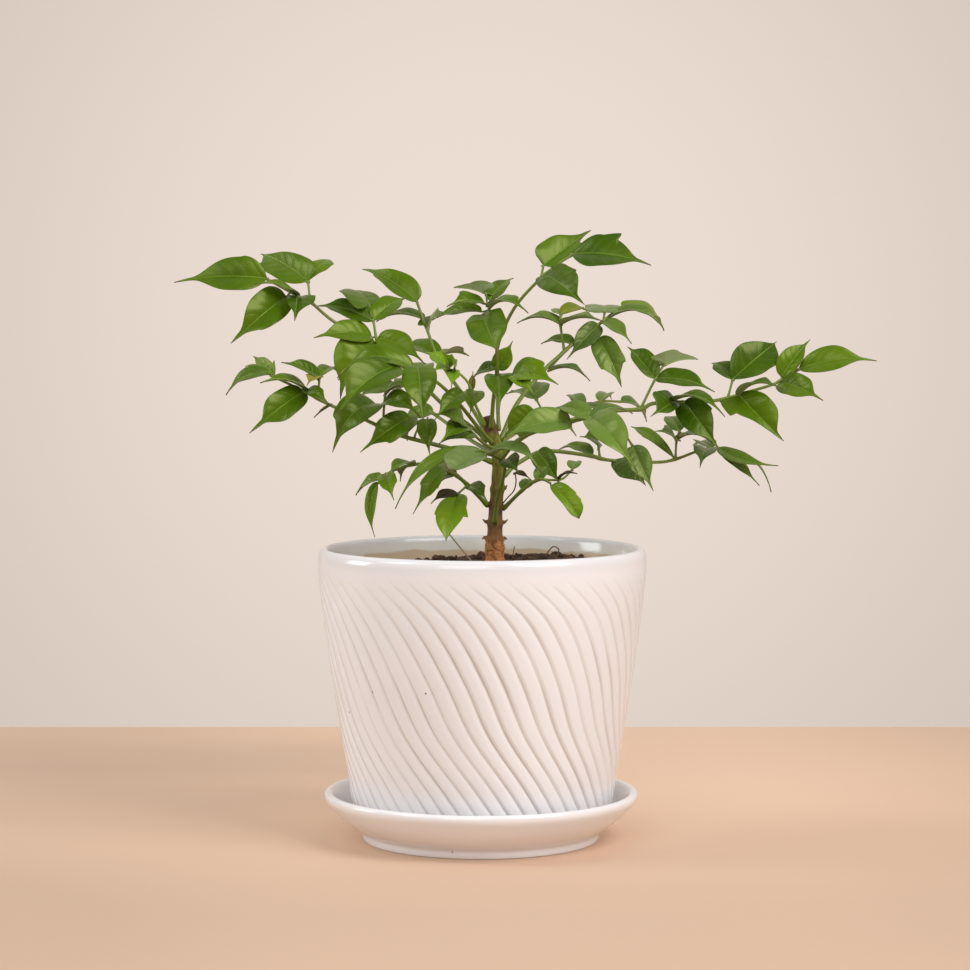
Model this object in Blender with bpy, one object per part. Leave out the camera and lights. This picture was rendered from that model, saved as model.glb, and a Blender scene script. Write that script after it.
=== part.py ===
"""A china doll plant in a swirl-grooved white pot on its saucer.

The tables are in millimetres. The model is in metres with +Z up, and the viewer stands at -Y.
The plant's points are written as seen from the front: across, up and depth, where depth grows
away from the viewer.
"""

import math
import random

import bpy
import numpy as np

MM = 0.001

# the eye in front of the plant, from which across and up are judged
EYE_ACROSS = 1.6
EYE_UP = 213.0
EYE_DISTANCE = 1159.0

# saucer: radius and height of its outline, from the foot round the rim to the inside floor
SAUCER_OUTLINE = (
    (47.2, 0.0),
    (47.5, 3.4),
    (53.4, 7.4),
    (59.3, 12.6),
    (62.8, 17.4),
    (61.9, 19.3),
    (59.9, 19.5),
    (58.2, 17.4),
    (53.5, 8.0),
    (49.8, 5.0),
)
SAUCER_COLUMNS = 34
SAUCER_FLOOR = 5.0

# pot: the plain rim, the grooved wall and the foot that stands in the saucer
GAP = 0.3
RIB_COUNT = 52
RIB_DEPTH = 1.15
POT_FOOT = SAUCER_FLOOR + GAP
# height, radius over the ribs, twist in degrees and share of the full rib depth
POT_WALL = (
    (107.6, 65.6, -4.1, 0.0),
    (103.2, 65.2, 0.5, 0.55),
    (96.0, 64.4, 7.2, 1.0),
    (85.0, 63.0, 14.2, 1.0),
    (70.0, 61.0, 21.4, 1.0),
    (48.0, 57.5, 30.9, 1.0),
    (27.0, 54.0, 46.0, 1.0),
    (11.0, 50.5, 58.0, 0.6),
)
POT_RIM = ((65.6, 113.6), (64.6, 116.6), (62.9, 117.2), (61.5, 115.4))
POT_INSIDE = ((60.8, 109.0), (56.9, 72.0), (50.8, 32.0), (44.8, 10.4))
POT_ASIDE = 0.5  # the pot stands a little to the right on its saucer
POT_FOOT_RADIUS = 48.4
POT_FOOT_INNER = 43.0
POT_FOOT_HEIGHT = 2.4
POT_FLOOR_TOP = 10.0
POT_FLOOR = 3.6
DRAIN_RADIUS = 6.0

# soil: a mound just below the rim
SOIL_TOP = 108.6
SOIL_COLUMNS = 20
SOIL_BOTTOM = 10.9

# trunk: across, depth, up and radius
TRUNK_PATH = (
    (5.6, 0.0, 96.0, 3.9),
    (5.6, 0.0, 112.0, 3.7),
    (5.5, 0.0, 122.0, 3.1),
    (5.9, 0.0, 132.0, 2.7),
    (6.7, 0.0, 143.0, 2.6),
    (7.0, 0.0, 151.0, 2.5),
    (5.9, 0.0, 158.0, 2.5),
    (4.2, 0.0, 164.0, 2.4),
    (2.8, 0.0, 169.4, 2.2),
)
TRUNK_SIDES = 10
# leaf scars and stubs: up, direction in degrees round the trunk, how far they stand out, radius
TRUNK_SCARS = (
    (126.8, 188.0, 2.2, 1.0),
    (126.6, -8.0, 2.2, 1.0),
    (120.2, 184.0, 2.3, 1.1),
    (120.0, -4.0, 2.2, 1.1),
    (134.0, 196.0, 1.4, 1.2),
    (140.5, 10.0, 1.3, 1.2),
)

# blades: share of the length and share of the half width at each station, and the thickness
BLADE_STATIONS = ((0.08, 0.56), (0.30, 1.0), (0.56, 0.84), (0.79, 0.27))
SMALL_STATIONS = ((0.14, 0.76), (0.42, 1.0), (0.75, 0.42))
SMALL_BLADE = 11.1
BLADE_THICKNESS = 0.66
BLADE_FOLD = math.radians(17.0)
STEM_SIDES = 4
STALK_HALF = 0.42

# Each frond has stems and leaflets.
# A stem is its points (across, up, depth) and its radius at each end.
# A leaflet is its base and its tip (across, up, depth), its width, the way its upper side
# looks (0 the sky, 90 the viewer, negative away from the viewer), its arch as a share of its length and,
# on some, how far a lobe widens it (to its right if positive).
FRONDS = {
    "frond_upper_left": {
        "stems": (
            (((1.5, 160.0, 0.6), (-1.6, 163.6, 0.5), (-14.0, 173.2, -2.0), (-27.6, 186.4, -3.0),
              (-41.2, 197.2, -4.0), (-58.4, 207.2, -6.0), (-68.0, 215.2, -8.0),
              (-73.2, 217.6, -8.0), (-85.6, 224.4, -8.0)), 1.15, 0.6),
            (((-68.0, 215.2, -8.0), (-68.8, 223.4, -6.0)), 0.6, 0.5),
            (((-41.2, 197.2, -4.0), (-42.8, 207.2, -1.0), (-44.4, 213.6, 2.0)), 0.7, 0.5),
        ),
        "leaflets": (
            (-85.2, 224.4, -8, -122.0, 222.8, -12, 17.6, 60, 0.07),
            (-68.8, 223.2, -6, -87.4, 234.0, 14, 15.6, 61, 0.04),
            (-68.8, 223.2, -6, -60.0, 231.6, 8, 8.4, 46, 0.10),
            (-73.4, 217.8, -9, -90.0, 222.0, -22, 11.0, 34, 0.12),
            (-77.6, 217.2, -9, -99.6, 198.6, -24, 15.5, 85, 0.12),
            (-72.8, 216.6, -9, -74.2, 207.6, -26, 11.0, 71, 0.12),
            (-44.4, 213.6, 2, -54.0, 219.4, 22, 15.5, -14, 0.10),
            (-43.2, 207.6, -1, -66.0, 213.2, 10, 11.6, 43, 0.12),
            (-42.8, 208.0, -1, -29.2, 216.4, 14, 10.8, 45, 0.12),
            (-43.6, 201.2, -3, -66.6, 200.8, -14, 12.8, 51, 0.08),
            (-41.0, 200.8, -3, -22.4, 190.4, -8, 11.6, 53, 0.15),
            (-41.6, 197.8, -4, -56.0, 176.4, -12, 20.2, 70, 0.26),
        ),
    },
    "frond_upper_centre": {
        "stems": (
            (((2.1, 163.0, 2.8), (-5.0, 175.0, 9.0), (-16.4, 191.6, 16.0), (-21.6, 204.4, 19.0),
              (-25.6, 215.4, 20.0)), 1.1, 0.6),
        ),
        "leaflets": (
            (-25.6, 215.2, 20, -47.0, 228.0, 34, 13.6, 42, 0.10),
            (-22.8, 208.4, 20, -41.6, 207.2, 34, 10.0, 12, 0.12),
            (-21.2, 205.8, 18, -14.6, 210.4, 34, 16.0, -42, 0.08),
            (-16.4, 193.4, 16, -4.8, 193.6, 30, 12.0, -14, 0.10),
            (-17.0, 193.0, 16, -33.0, 196.0, 36, 12.0, 30, 0.12),
        ),
    },
    "frond_front_left": {
        "stems": (
            (((3.8, 159.6, -3.0), (-1.2, 165.2, -12.0), (-9.6, 175.6, -26.0),
              (-17.6, 183.2, -36.0), (-26.4, 188.8, -44.0), (-33.4, 189.8, -48.0)), 1.1, 0.6),
        ),
        "leaflets": (
            (-33.2, 189.6, -48, -57.2, 170.4, -66, 19.0, 63, 0.12),
            (-27.2, 189.2, -44, -57.2, 184.8, -40, 12.0, 38, 0.25),
            (-25.0, 188.8, -45, -23.0, 167.4, -60, 15.2, 74, 0.14),
        ),
    },
    "frond_left": {
        "stems": (
            (((3.7, 151.6, -1.0), (-6.0, 155.0, -6.0), (-20.4, 158.8, -12.0),
              (-32.4, 162.0, -15.0), (-42.4, 166.4, -17.0), (-48.4, 169.2, -18.0),
              (-60.0, 174.0, -19.0), (-69.2, 178.8, -19.0), (-76.4, 182.4, -19.0),
              (-84.0, 186.0, -19.0)), 1.2, 0.6),
            (((-64.8, 176.8, -19.0), (-64.4, 185.6, -18.0)), 0.6, 0.5),
            (((-38.8, 164.9, -16.5), (-38.8, 171.6, -17.0), (-38.2, 178.2, -18.0)), 0.7, 0.5),
        ),
        "leaflets": (
            (-84.0, 186.4, -19, -101.6, 178.0, -20, 8.4, 35, 0.17),
            (-82.4, 186.2, -19, -90.6, 193.4, -8, 6.5, 56, 0.06),
            (-84.4, 186.8, -19, -93.8, 189.4, -6, 4.0, 12, 0.10),
            (-69.6, 180.0, -19, -88.0, 182.8, -30, 10.0, 25, 0.14),
            (-70.8, 179.2, -19, -92.4, 162.8, -34, 13.0, 74, 0.14),
            (-64.6, 185.0, -18, -79.6, 191.0, -26, 9.0, 41, 0.06),
            (-64.2, 185.4, -18, -57.6, 187.6, 0, 8.0, 15, 0.12),
            (-65.0, 184.4, -18, -69.4, 181.8, -34, 7.2, 38, 0.10),
            (-69.4, 179.6, -20, -60.4, 174.2, -30, 7.0, 45, 0.14),
            (-42.0, 174.4, -18, -59.2, 155.2, -30, 16.0, 49, 0.30),
            (-38.8, 174.8, -17, -24.4, 169.2, -24, 11.0, 45, 0.28),
            (-38.2, 178.2, -18, -25.6, 180.0, -20, 8.0, 15, 0.24),
            (-28.4, 169.2, -16, -48.2, 155.2, -27, 12.0, 70, 0.14),
            (-21.4, 168.2, -14, -20.4, 153.6, -26, 8.8, 82, 0.12),
            (-25.0, 167.0, -13, -29.4, 159.8, 2, 7.8, 58, 0.10),
        ),
    },
    "frond_front_centre": {
        "stems": (
            (((4.2, 166.0, -3.8), (5.0, 177.0, -10.0), (6.4, 186.0, -17.0), (6.0, 200.0, -24.0),
              (3.0, 213.4, -30.0)), 1.1, 0.6),
            (((6.4, 186.0, -17.0), (12.8, 186.4, -20.0)), 0.65, 0.5),
        ),
        "leaflets": (
            (1.2, 218.8, -29, -10.8, 220.8, -16, 15.6, -42, 0.06),
            (3.6, 215.6, -29, 12.8, 224.4, -14, 9.5, 14, 0.08),
            (3.6, 212.8, -30, 18.8, 210.6, -44, 10.0, 22, 0.20),
            (1.4, 214.4, -30, -13.6, 213.2, -40, 10.0, 36, 0.12),
            (0.2, 211.4, -29, -19.4, 207.8, -20, 9.0, 32, 0.10),
            (0.4, 209.8, -31, 6.6, 194.8, -54, 17.0, 74, 0.12),
            (6.4, 188.6, -18, 12.6, 199.6, -20, 8.4, 84, 0.06),
            (6.8, 185.6, -17, 7.2, 170.8, -36, 12.5, 75, 0.16),
            (12.6, 186.2, -20, 30.8, 182.2, -34, 14.2, 56, 0.12),
            (12.8, 186.0, -20, 22.0, 177.0, -38, 9.0, 59, 0.12),
            (6.0, 188.4, -18, -3.0, 184.8, -8, 8.6, 45, 0.12),
        ),
    },
    "frond_top": {
        "stems": (
            (((7.0, 165.0, 2.5), (6.4, 182.0, 6.0), (6.4, 196.0, 5.0), (10.4, 207.4, 1.0),
              (15.4, 215.6, -3.0), (22.8, 223.6, -6.0), (24.8, 225.6, -7.0), (31.6, 230.8, -8.0),
              (36.8, 234.0, -8.0)), 1.0, 0.6),
            (((24.0, 225.0, -7.0), (24.8, 229.8, -6.0)), 0.6, 0.5),
        ),
        "leaflets": (
            (36.4, 234.0, -8, 67.6, 229.6, -14, 17.8, 47, 0.10, -0.3),
            (24.8, 229.6, -6, 43.6, 243.4, 12, 15.6, 49, 0.05),
            (25.4, 225.6, -7, 41.2, 214.0, -30, 17.6, 74, 0.12),
        ),
    },
    "frond_upper_right": {
        "stems": (
            (((8.2, 161.0, 2.2), (14.0, 174.0, 8.0), (24.0, 186.8, 16.0), (31.6, 194.0, 22.0),
              (37.6, 199.2, 27.0), (48.8, 207.6, 36.0), (52.8, 210.6, 39.0),
              (57.0, 212.2, 41.0)), 1.2, 0.5),
            (((48.8, 207.6, 36.0), (49.2, 211.2, 37.0)), 0.55, 0.5),
            (((33.2, 195.4, 23.5), (31.6, 206.4, 24.0), (32.0, 210.4, 26.0)), 0.7, 0.5),
            (((34.0, 196.0, 24.0), (27.0, 188.2, 20.0)), 0.6, 0.5),
        ),
        "leaflets": (
            (49.2, 211.0, 37, 48.6, 212.4, 60, 16.0, -40, 0.08),
            (51.4, 209.2, 38, 72.8, 204.2, 34, 9.0, 20, 0.24),
            (57.0, 212.2, 41, 72.8, 203.6, 52, 12.0, 30, 0.18),
            (48.8, 207.2, 36, 60.0, 198.4, 26, 8.0, 35, 0.14),
            (46.8, 205.8, 34, 34.2, 192.2, 24, 9.6, 71, 0.10),
            (31.8, 206.2, 24, 14.4, 206.6, 34, 10.0, 12, 0.14),
            (31.8, 206.2, 24, 48.8, 207.2, 12, 10.0, 14, 0.12),
            (32.0, 210.2, 26, 30.6, 211.4, 44, 8.0, -35, 0.08),
            (32.0, 210.2, 26, 42.2, 211.4, 38, 8.0, 30, 0.14),
            (36.4, 198.2, 26, 24.0, 198.4, 34, 9.0, 25, 0.12),
            (46.8, 200.6, 33, 56.0, 181.2, 26, 13.2, 77, 0.10),
            (27.2, 187.8, 20, 43.4, 183.6, 12, 8.0, 8, 0.18),
        ),
    },
    "frond_right": {
        "stems": (
            (((9.7, 155.6, 0.4), (20.0, 163.0, -3.0), (37.6, 168.4, -6.0), (51.6, 171.6, -8.0),
              (63.6, 172.4, -9.0), (69.6, 174.8, -9.0), (87.6, 175.2, -9.0), (98.4, 176.8, -9.0),
              (103.6, 178.4, -9.0), (115.6, 182.0, -9.0), (119.6, 184.0, -9.0),
              (127.2, 188.6, -9.0)), 1.25, 0.6),
            (((98.4, 176.8, -9.0), (100.4, 184.6, -8.0)), 0.6, 0.5),
            (((63.6, 172.4, -9.0), (69.2, 184.0, -6.0), (72.8, 190.0, -4.0)), 0.7, 0.5),
        ),
        "leaflets": (
            (126.8, 188.4, -9, 157.6, 191.6, -14, 13.4, 52, 0.12),
            (119.8, 185.2, -9, 131.0, 200.0, -2, 11.8, 55, 0.08),
            (119.6, 183.0, -9, 136.4, 175.8, -26, 13.0, 70, 0.12),
            (100.4, 184.4, -8, 92.0, 190.6, 6, 9.0, 48, 0.12),
            (100.4, 184.4, -8, 117.6, 199.2, 2, 17.6, 66, 0.10),
            (102.8, 178.0, -9, 119.8, 180.4, -28, 9.0, 22, 0.16),
            (102.8, 178.0, -9, 120.8, 159.6, -22, 17.0, 84, 0.10, 0.3),
            (69.2, 184.8, -6, 58.4, 197.2, 6, 11.8, 62, 0.10),
            (73.2, 190.0, -4, 86.4, 192.2, 10, 16.4, -45, 0.06),
            (70.4, 184.6, -6, 93.2, 179.2, -14, 11.6, 41, 0.12),
            (77.8, 175.2, -9, 67.7, 169.5, -24, 14.8, 68, 0.12),
            (75.2, 175.0, -9, 97.2, 169.4, -30, 9.5, 16, 0.18),
            (80.8, 175.2, -9, 95.2, 156.0, -20, 14.0, 82, 0.12),
        ),
    },
    "frond_right_rear": {
        "stems": (
            (((9.7, 146.4, 2.1), (15.0, 151.0, 7.0), (25.6, 155.6, 14.0), (42.4, 154.0, 24.0),
              (51.6, 152.0, 29.0), (69.6, 151.2, 35.0), (77.6, 152.4, 37.0), (87.6, 156.0, 39.0),
              (95.2, 157.0, 40.0)), 1.2, 0.6),
            (((77.6, 152.4, 37.0), (78.0, 159.6, 38.0), (79.2, 163.8, 39.0)), 0.6, 0.5),
            (((47.4, 153.0, 27.0), (46.8, 159.2, 28.0)), 0.6, 0.5),
        ),
        "leaflets": (
            (77.8, 160.0, 38, 69.6, 163.6, 24, 8.4, 51, 0.10),
            (79.2, 163.6, 39, 74.4, 169.4, 54, 9.4, 38, 0.10),
            (78.4, 160.4, 38, 92.4, 158.8, 24, 9.0, 16, 0.16),
            (77.2, 152.8, 37, 60.0, 165.4, 50, 6.4, 39, 0.10),
            (91.6, 156.6, 40, 84.6, 158.0, 58, 9.0, 15, 0.10),
            (90.0, 156.4, 39, 87.4, 149.0, 20, 10.6, 54, 0.12),
            (94.8, 156.8, 40, 118.6, 149.8, 30, 8.0, 38, 0.05),
            (94.8, 156.6, 40, 111.2, 141.8, 32, 6.4, 42, 0.06),
            (46.8, 159.2, 28, 39.4, 161.4, 20, 8.6, 55, 0.10),
            (44.0, 153.8, 25, 30.8, 156.0, 40, 9.0, 20, 0.14),
            (57.2, 153.0, 31, 65.8, 141.8, 20, 15.5, 84, 0.12),
            (22.8, 155.6, 12, 32.0, 141.8, 0, 10.5, 84, 0.10),
            (94.6, 156.2, 40, 115.8, 140.8, 48, 4.0, 30, 0.18),
        ),
    },
    "frond_front_right": {
        "stems": (
            (((8.8, 153.6, -2.8), (15.6, 160.6, -14.0), (27.6, 165.4, -28.0), (36.8, 167.6, -38.0),
              (44.0, 168.8, -45.0), (51.0, 167.0, -46.0), (57.0, 162.6, -44.6),
              (60.6, 157.6, -43.0)), 1.15, 0.5),
        ),
        "leaflets": (
            (35.8, 167.4, -37, 8.6, 160.6, -44, 13.4, 54, 0.12),
            (43.2, 168.9, -44, 29.0, 172.6, -29, 10.2, 43, 0.10),
            (44.0, 168.8, -46, 62.6, 147.0, -66, 14.4, 68, 0.24),
            (60.6, 157.6, -43, 68.8, 139.8, -50, 10.4, 73, 0.10),
            (44.2, 169.0, -45, 60.4, 170.6, -35, 8.0, 22, 0.16),
            (22.0, 170.4, -32, 9.6, 161.6, -28, 13.2, 66, 0.10),
        ),
    },
    "frond_front_low": {
        "stems": (
            (((5.6, 128.0, -4.3), (6.6, 136.4, -9.0), (8.8, 144.4, -17.0), (9.2, 151.0, -26.0),
              (3.6, 154.4, -33.0), (0.0, 156.0, -36.0)), 1.1, 0.6),
        ),
        "leaflets": (
            (2.0, 153.8, -34, -12.4, 147.6, -54, 13.8, 57, 0.08),
            (0.0, 156.0, -36, -34.2, 132.6, -40, 7.6, 38, 0.22),
            (3.6, 154.4, -33, 24.0, 147.0, -42, 9.5, 26, 0.28),
            (10.4, 152.4, -27, 15.4, 146.4, -40, 9.4, 72, 0.10),
        ),
    },
    "leafy_stem_low_right": {
        "stems": (
            (((9.5, 133.2, -0.8), (17.6, 141.0, -6.0), (23.6, 144.4, -9.0),
              (27.6, 143.0, -11.0)), 1.0, 0.55),
            (((23.6, 144.4, -9.0), (32.0, 144.4, -9.0), (36.6, 148.4, -7.0)), 0.6, 0.45),
        ),
        "leaflets": (
            (28.2, 141.8, -11, 39.2, 128.6, -18, 9.4, 61, 0.12),
            (31.0, 144.4, -9, 38.4, 146.6, -20, 4.0, 36, 0.12),
            (36.6, 148.4, -7, 38.2, 151.2, 6, 6.5, 10, 0.08),
            (16.6, 140.2, -5, 21.4, 143.4, 8, 6.5, 30, 0.10),
            (22.0, 144.2, -8, 26.6, 149.6, 0, 5.8, 67, 0.10),
        ),
    },
    "leafy_stem_low_left": {
        "stems": (
            (((2.0, 134.6, -0.8), (-4.4, 141.2, -6.0), (-9.6, 145.8, -11.0), (-14.4, 148.4, -14.0),
              (-20.4, 150.4, -16.0), (-27.2, 150.2, -17.0), (-36.4, 147.2, -17.0),
              (-41.6, 142.4, -17.0)), 1.1, 0.5),
            (((-5.2, 142.2, -7.0), (-9.4, 138.4, -14.0)), 0.6, 0.5),
        ),
        "leaflets": (
            (-4.4, 141.8, -6, 2.6, 135.4, -20, 7.4, 57, 0.10),
            (-9.8, 146.0, -11, -17.2, 140.8, 2, 7.4, 46, 0.12),
            (-9.4, 138.8, -14, -20.0, 134.6, -22, 4.8, 44, 0.14),
            (-9.4, 138.4, -14, -14.0, 119.6, -34, 13.8, 77, 0.10),
            (-15.6, 148.8, -15, -27.2, 130.4, -30, 7.8, 56, 0.14),
            (-12.6, 147.8, -13, -21.6, 144.8, 4, 7.4, 41, 0.12),
            (-27.2, 150.4, -17, -37.4, 145.4, -34, 7.5, 22, 0.12),
            (-26.8, 150.2, -17, -32.2, 143.6, -2, 7.2, 37, 0.12),
            (-39.6, 145.2, -17, -50.0, 138.0, -10, 7.6, 34, 0.10),
            (-38.0, 146.4, -17, -34.8, 136.0, -30, 8.2, 70, 0.10),
            (-41.8, 143.0, -17, -42.4, 121.2, -22, 5.2, 60, 0.06),
        ),
    },
    "young_shoot": {
        "stems": (
            (((1.2, 166.8, -2.6), (-3.0, 176.0, -5.0), (-4.6, 182.0, -6.0), (-8.4, 186.4, -7.0),
              (-13.2, 188.6, -8.0)), 0.8, 0.5),
        ),
        "leaflets": (
            (-13.2, 188.6, -8, -22.4, 195.0, 2, 7.0, 40, 0.10),
            (-13.0, 188.6, -8, -15.6, 195.4, -16, 6.6, 58, 0.10),
            (-12.4, 188.2, -8, -19.6, 187.4, -16, 6.0, 40, 0.10),
            (-10.8, 187.6, -8, -11.8, 180.6, -18, 6.0, 59, 0.12),
            (-4.0, 179.6, -6, -3.2, 187.4, -2, 3.2, 69, 0.06),
            (-10.6, 188.2, -8, -12.6, 193.0, -18, 4.6, 65, 0.08),
        ),
    },
    "frond_inner": {
        "stems": (
            (((6.0, 156.4, -3.4), (1.5, 158.5, -12.0), (-3.0, 162.5, -21.0),
              (-7.6, 168.0, -29.0)), 0.9, 0.5),
        ),
        "leaflets": (
            (-5.8, 165.4, -26, -16.4, 158.8, -44, 9.6, 62, 0.12),
            (-3.0, 162.5, -21, -16.8, 158.6, -34, 9.8, 49, 0.10),
            (-7.0, 167.2, -28, -18.4, 170.4, -40, 10.8, 57, 0.12),
        ),
    },
    "frond_rear": {
        "stems": (
            (((6.0, 158.0, 3.6), (14.0, 163.0, 20.0), (26.0, 169.0, 42.0), (38.0, 172.4, 58.0),
              (47.6, 175.4, 70.0), (56.0, 175.4, 78.0)), 1.15, 0.6),
            (((26.0, 169.0, 42.0), (22.0, 176.4, 52.0)), 0.65, 0.5),
        ),
        "leaflets": (
            (39.6, 173.0, 60, 35.0, 177.4, 78, 8.0, 8, 0.12),
            (47.6, 175.4, 70, 52.0, 176.4, 92, 8.0, 4, 0.12),
            (56.0, 175.4, 78, 66.0, 167.4, 92, 9.0, 35, 0.14),
            (38.0, 172.4, 58, 50.4, 170.4, 50, 9.0, 12, 0.14),
            (26.6, 169.2, 43, 38.0, 161.6, 38, 8.0, 25, 0.14),
            (22.0, 176.4, 52, 10.0, 178.4, 64, 10.0, 20, 0.12),
            (22.0, 176.4, 52, 25.0, 183.0, 70, 10.0, 5, 0.10),
            (25.0, 168.6, 41, 11.0, 166.0, 54, 10.0, 20, 0.12),
        ),
    },
    "frond_rear_left": {
        "stems": (
            (((4.6, 155.2, 3.0), (-4.0, 160.0, 14.0), (-18.0, 170.0, 34.0), (-32.0, 180.0, 52.0),
              (-42.0, 186.0, 64.0)), 1.15, 0.6),
            (((-25.0, 175.0, 43.0), (-26.0, 184.0, 50.0)), 0.65, 0.5),
        ),
        "leaflets": (
            (-42.0, 186.0, 64, -57.0, 184.0, 82, 12.0, 25, 0.12),
            (-42.0, 186.0, 64, -44.0, 192.0, 88, 12.0, 8, 0.12),
            (-34.0, 181.2, 54, -50.0, 176.0, 52, 11.0, 35, 0.14),
            (-33.0, 180.6, 53, -22.0, 180.0, 74, 11.0, 20, 0.12),
            (-26.0, 183.8, 50, -34.0, 190.0, 40, 11.0, 30, 0.12),
            (-26.0, 183.8, 50, -20.0, 190.0, 70, 11.0, 20, 0.12),
            (-19.0, 170.8, 36, -32.0, 166.0, 40, 11.0, 33, 0.14),
        ),
    },
}

FROND_COLOURS = {
    "young_shoot": (0.24, 0.36, 0.06),
    "frond_upper_right": (0.10, 0.17, 0.08),
    "frond_right_rear": (0.11, 0.19, 0.08),
    "frond_rear": (0.10, 0.18, 0.09),
    "frond_rear_left": (0.10, 0.18, 0.09),
    "frond_inner": (0.13, 0.22, 0.07),
}
LEAF_GREEN = (0.08, 0.17, 0.05)
GLAZE_WHITE = (0.78, 0.74, 0.70)
SOIL_BROWN = (0.08, 0.05, 0.035)
BARK_BROWN = (0.22, 0.14, 0.08)


def clear_scene():
    for thing in list(bpy.data.objects):
        bpy.data.objects.remove(thing, do_unlink=True)


def material(name, colour, roughness):
    made = bpy.data.materials.new(name)
    made.use_nodes = True
    shader = made.node_tree.nodes["Principled BSDF"]
    shader.inputs["Base Color"].default_value = (*colour, 1.0)
    shader.inputs["Roughness"].default_value = roughness
    shader.inputs["Metallic"].default_value = 0.0
    return made


def mesh_object(name, points, faces, look, smooth=False):
    """Points in millimetres become an object in metres."""
    mesh = bpy.data.meshes.new(name)
    mesh.from_pydata([tuple(c * MM for c in p) for p in points], [], faces)
    mesh.update()
    mesh.materials.append(look)
    made = bpy.data.objects.new(name, mesh)
    bpy.context.scene.collection.objects.link(made)
    if smooth:
        mesh.shade_smooth()
    return made


# round pieces


def ring(radius, up, columns, turn=0.0):
    angles = [turn + math.tau * i / columns for i in range(columns)]
    return [(radius * math.cos(a), radius * math.sin(a), up) for a in angles]


def bridge(low, high):
    """Faces between two rings of vertex numbers; one may have twice the columns of the other."""
    if len(low) == len(high):
        count = len(low)
        after = [(i + 1) % count for i in range(count)]
        return [(low[i], low[j], high[j], high[i]) for i, j in enumerate(after)]
    faces = []
    if len(low) == 2 * len(high):
        count = len(high)
        for i in range(count):
            a, b, c = low[2 * i], low[2 * i + 1], low[(2 * i + 2) % (2 * count)]
            faces += [(a, b, high[i]), (b, high[(i + 1) % count], high[i]), (b, c, high[(i + 1) % count])]
        return faces
    count = len(low)
    for i in range(count):
        a, b, c = high[2 * i], high[2 * i + 1], high[(2 * i + 2) % (2 * count)]
        faces += [(low[i], b, a), (low[i], low[(i + 1) % count], b), (low[(i + 1) % count], c, b)]
    return faces


def stacked(rings, closed):
    """Points and faces of a stack of rings; a closed stack joins its last ring to its first."""
    points = [p for one in rings for p in one]
    numbers = []
    start = 0
    for one in rings:
        numbers.append(list(range(start, start + len(one))))
        start += len(one)
    faces = []
    for low, high in zip(numbers, numbers[1:]):
        faces += bridge(low, high)
    if closed:
        faces += bridge(numbers[-1], numbers[0])
    else:
        faces.append(tuple(reversed(numbers[0])))
        faces.append(tuple(numbers[-1]))
    return points, faces


def saucer(look):
    rings = [ring(r, z, SAUCER_COLUMNS) for r, z in SAUCER_OUTLINE]
    points, faces = stacked(rings, closed=False)
    return mesh_object("saucer", points, faces, look, smooth=True)


def ribbed_ring(up, radius, twist, share):
    """Crests and grooves by turns; a groove lies nearer one crest, so each rib leans over its groove."""
    points = []
    for i in range(RIB_COUNT):
        for phase, depth in ((0.0, RIB_DEPTH * share), (0.58, 0.0)):
            angle = math.radians(twist) + math.tau * (i + phase) / RIB_COUNT
            points.append(((radius - depth) * math.cos(angle), (radius - depth) * math.sin(angle), up))
    return points


def pot(look):
    turn = math.radians(POT_WALL[-1][2])
    half = RIB_COUNT // 2
    foot = [
        ring(POT_FOOT_INNER, POT_FLOOR_TOP - POT_FLOOR, half, turn),
        ring(POT_FOOT_INNER + 0.8, POT_FOOT, half, turn),
        ring(POT_FOOT_RADIUS - 0.8, POT_FOOT, half, turn),
        ring(POT_FOOT_RADIUS, POT_FOOT + POT_FOOT_HEIGHT, RIB_COUNT, turn),
    ]
    wall = [ribbed_ring(z, r, twist, share) for z, r, twist, share in reversed(POT_WALL)]
    upper_turn = math.radians(POT_WALL[0][2])
    rim = [ring(r, z, RIB_COUNT, upper_turn) for r, z in POT_RIM]
    inside = [ring(r, z, half, upper_turn) for r, z in POT_INSIDE]
    floor = [
        ring(DRAIN_RADIUS + 12.0, POT_FLOOR_TOP, half, upper_turn),
        ring(DRAIN_RADIUS, POT_FLOOR_TOP, half, upper_turn),
        ring(DRAIN_RADIUS, POT_FLOOR_TOP - POT_FLOOR, half, turn),
    ]
    points, faces = stacked(foot + wall + rim + inside + floor, closed=True)
    points = [(x + POT_ASIDE, y, z) for x, y, z in points]
    return mesh_object("pot", points, faces, look, smooth=True)


def inside_radius(up):
    """The inner radius of the pot at this height."""
    heights = [z for r, z in POT_INSIDE][::-1]
    radii = [r for r, z in POT_INSIDE][::-1]
    return float(np.interp(up, heights, radii))


def soil(look):
    chance = random.Random(7)
    clear = 0.99
    rings = [ring(inside_radius(SOIL_BOTTOM) * clear - GAP, SOIL_BOTTOM, SOIL_COLUMNS)]
    rings += [ring(inside_radius(z) * clear - GAP, z, SOIL_COLUMNS) for z in (32.0, 72.0)]
    edge = inside_radius(106.6) * clear - GAP
    for radius, lift in ((edge, -2.0), (50.0, -0.2), (36.0, 0.4), (22.0, 0.7), (10.0, 0.9)):
        flat = ring(radius, SOIL_TOP + lift, SOIL_COLUMNS)
        rings.append([(x, y, z + chance.uniform(-0.9, 0.9)) for x, y, z in flat])
    points, faces = stacked(rings, closed=False)
    points = [(x + POT_ASIDE, y, z) for x, y, z in points]
    made = mesh_object("soil", points, faces, look)
    reach = TRUNK_PATH[0][3] + GAP + 0.15
    ends = [ring(reach, z, TRUNK_SIDES * 2) for z in (TRUNK_PATH[0][2] - 0.4, 130.0)]
    hole = mesh_object("trunk_hole", *stacked(ends, closed=False), look)
    hole.location.x = TRUNK_PATH[0][0] * MM
    hole.hide_render = True
    hole.display_type = "WIRE"
    cut = made.modifiers.new("trunk hole", "BOOLEAN")
    cut.operation = "DIFFERENCE"
    cut.object = hole
    return made


# stems and blades


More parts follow.
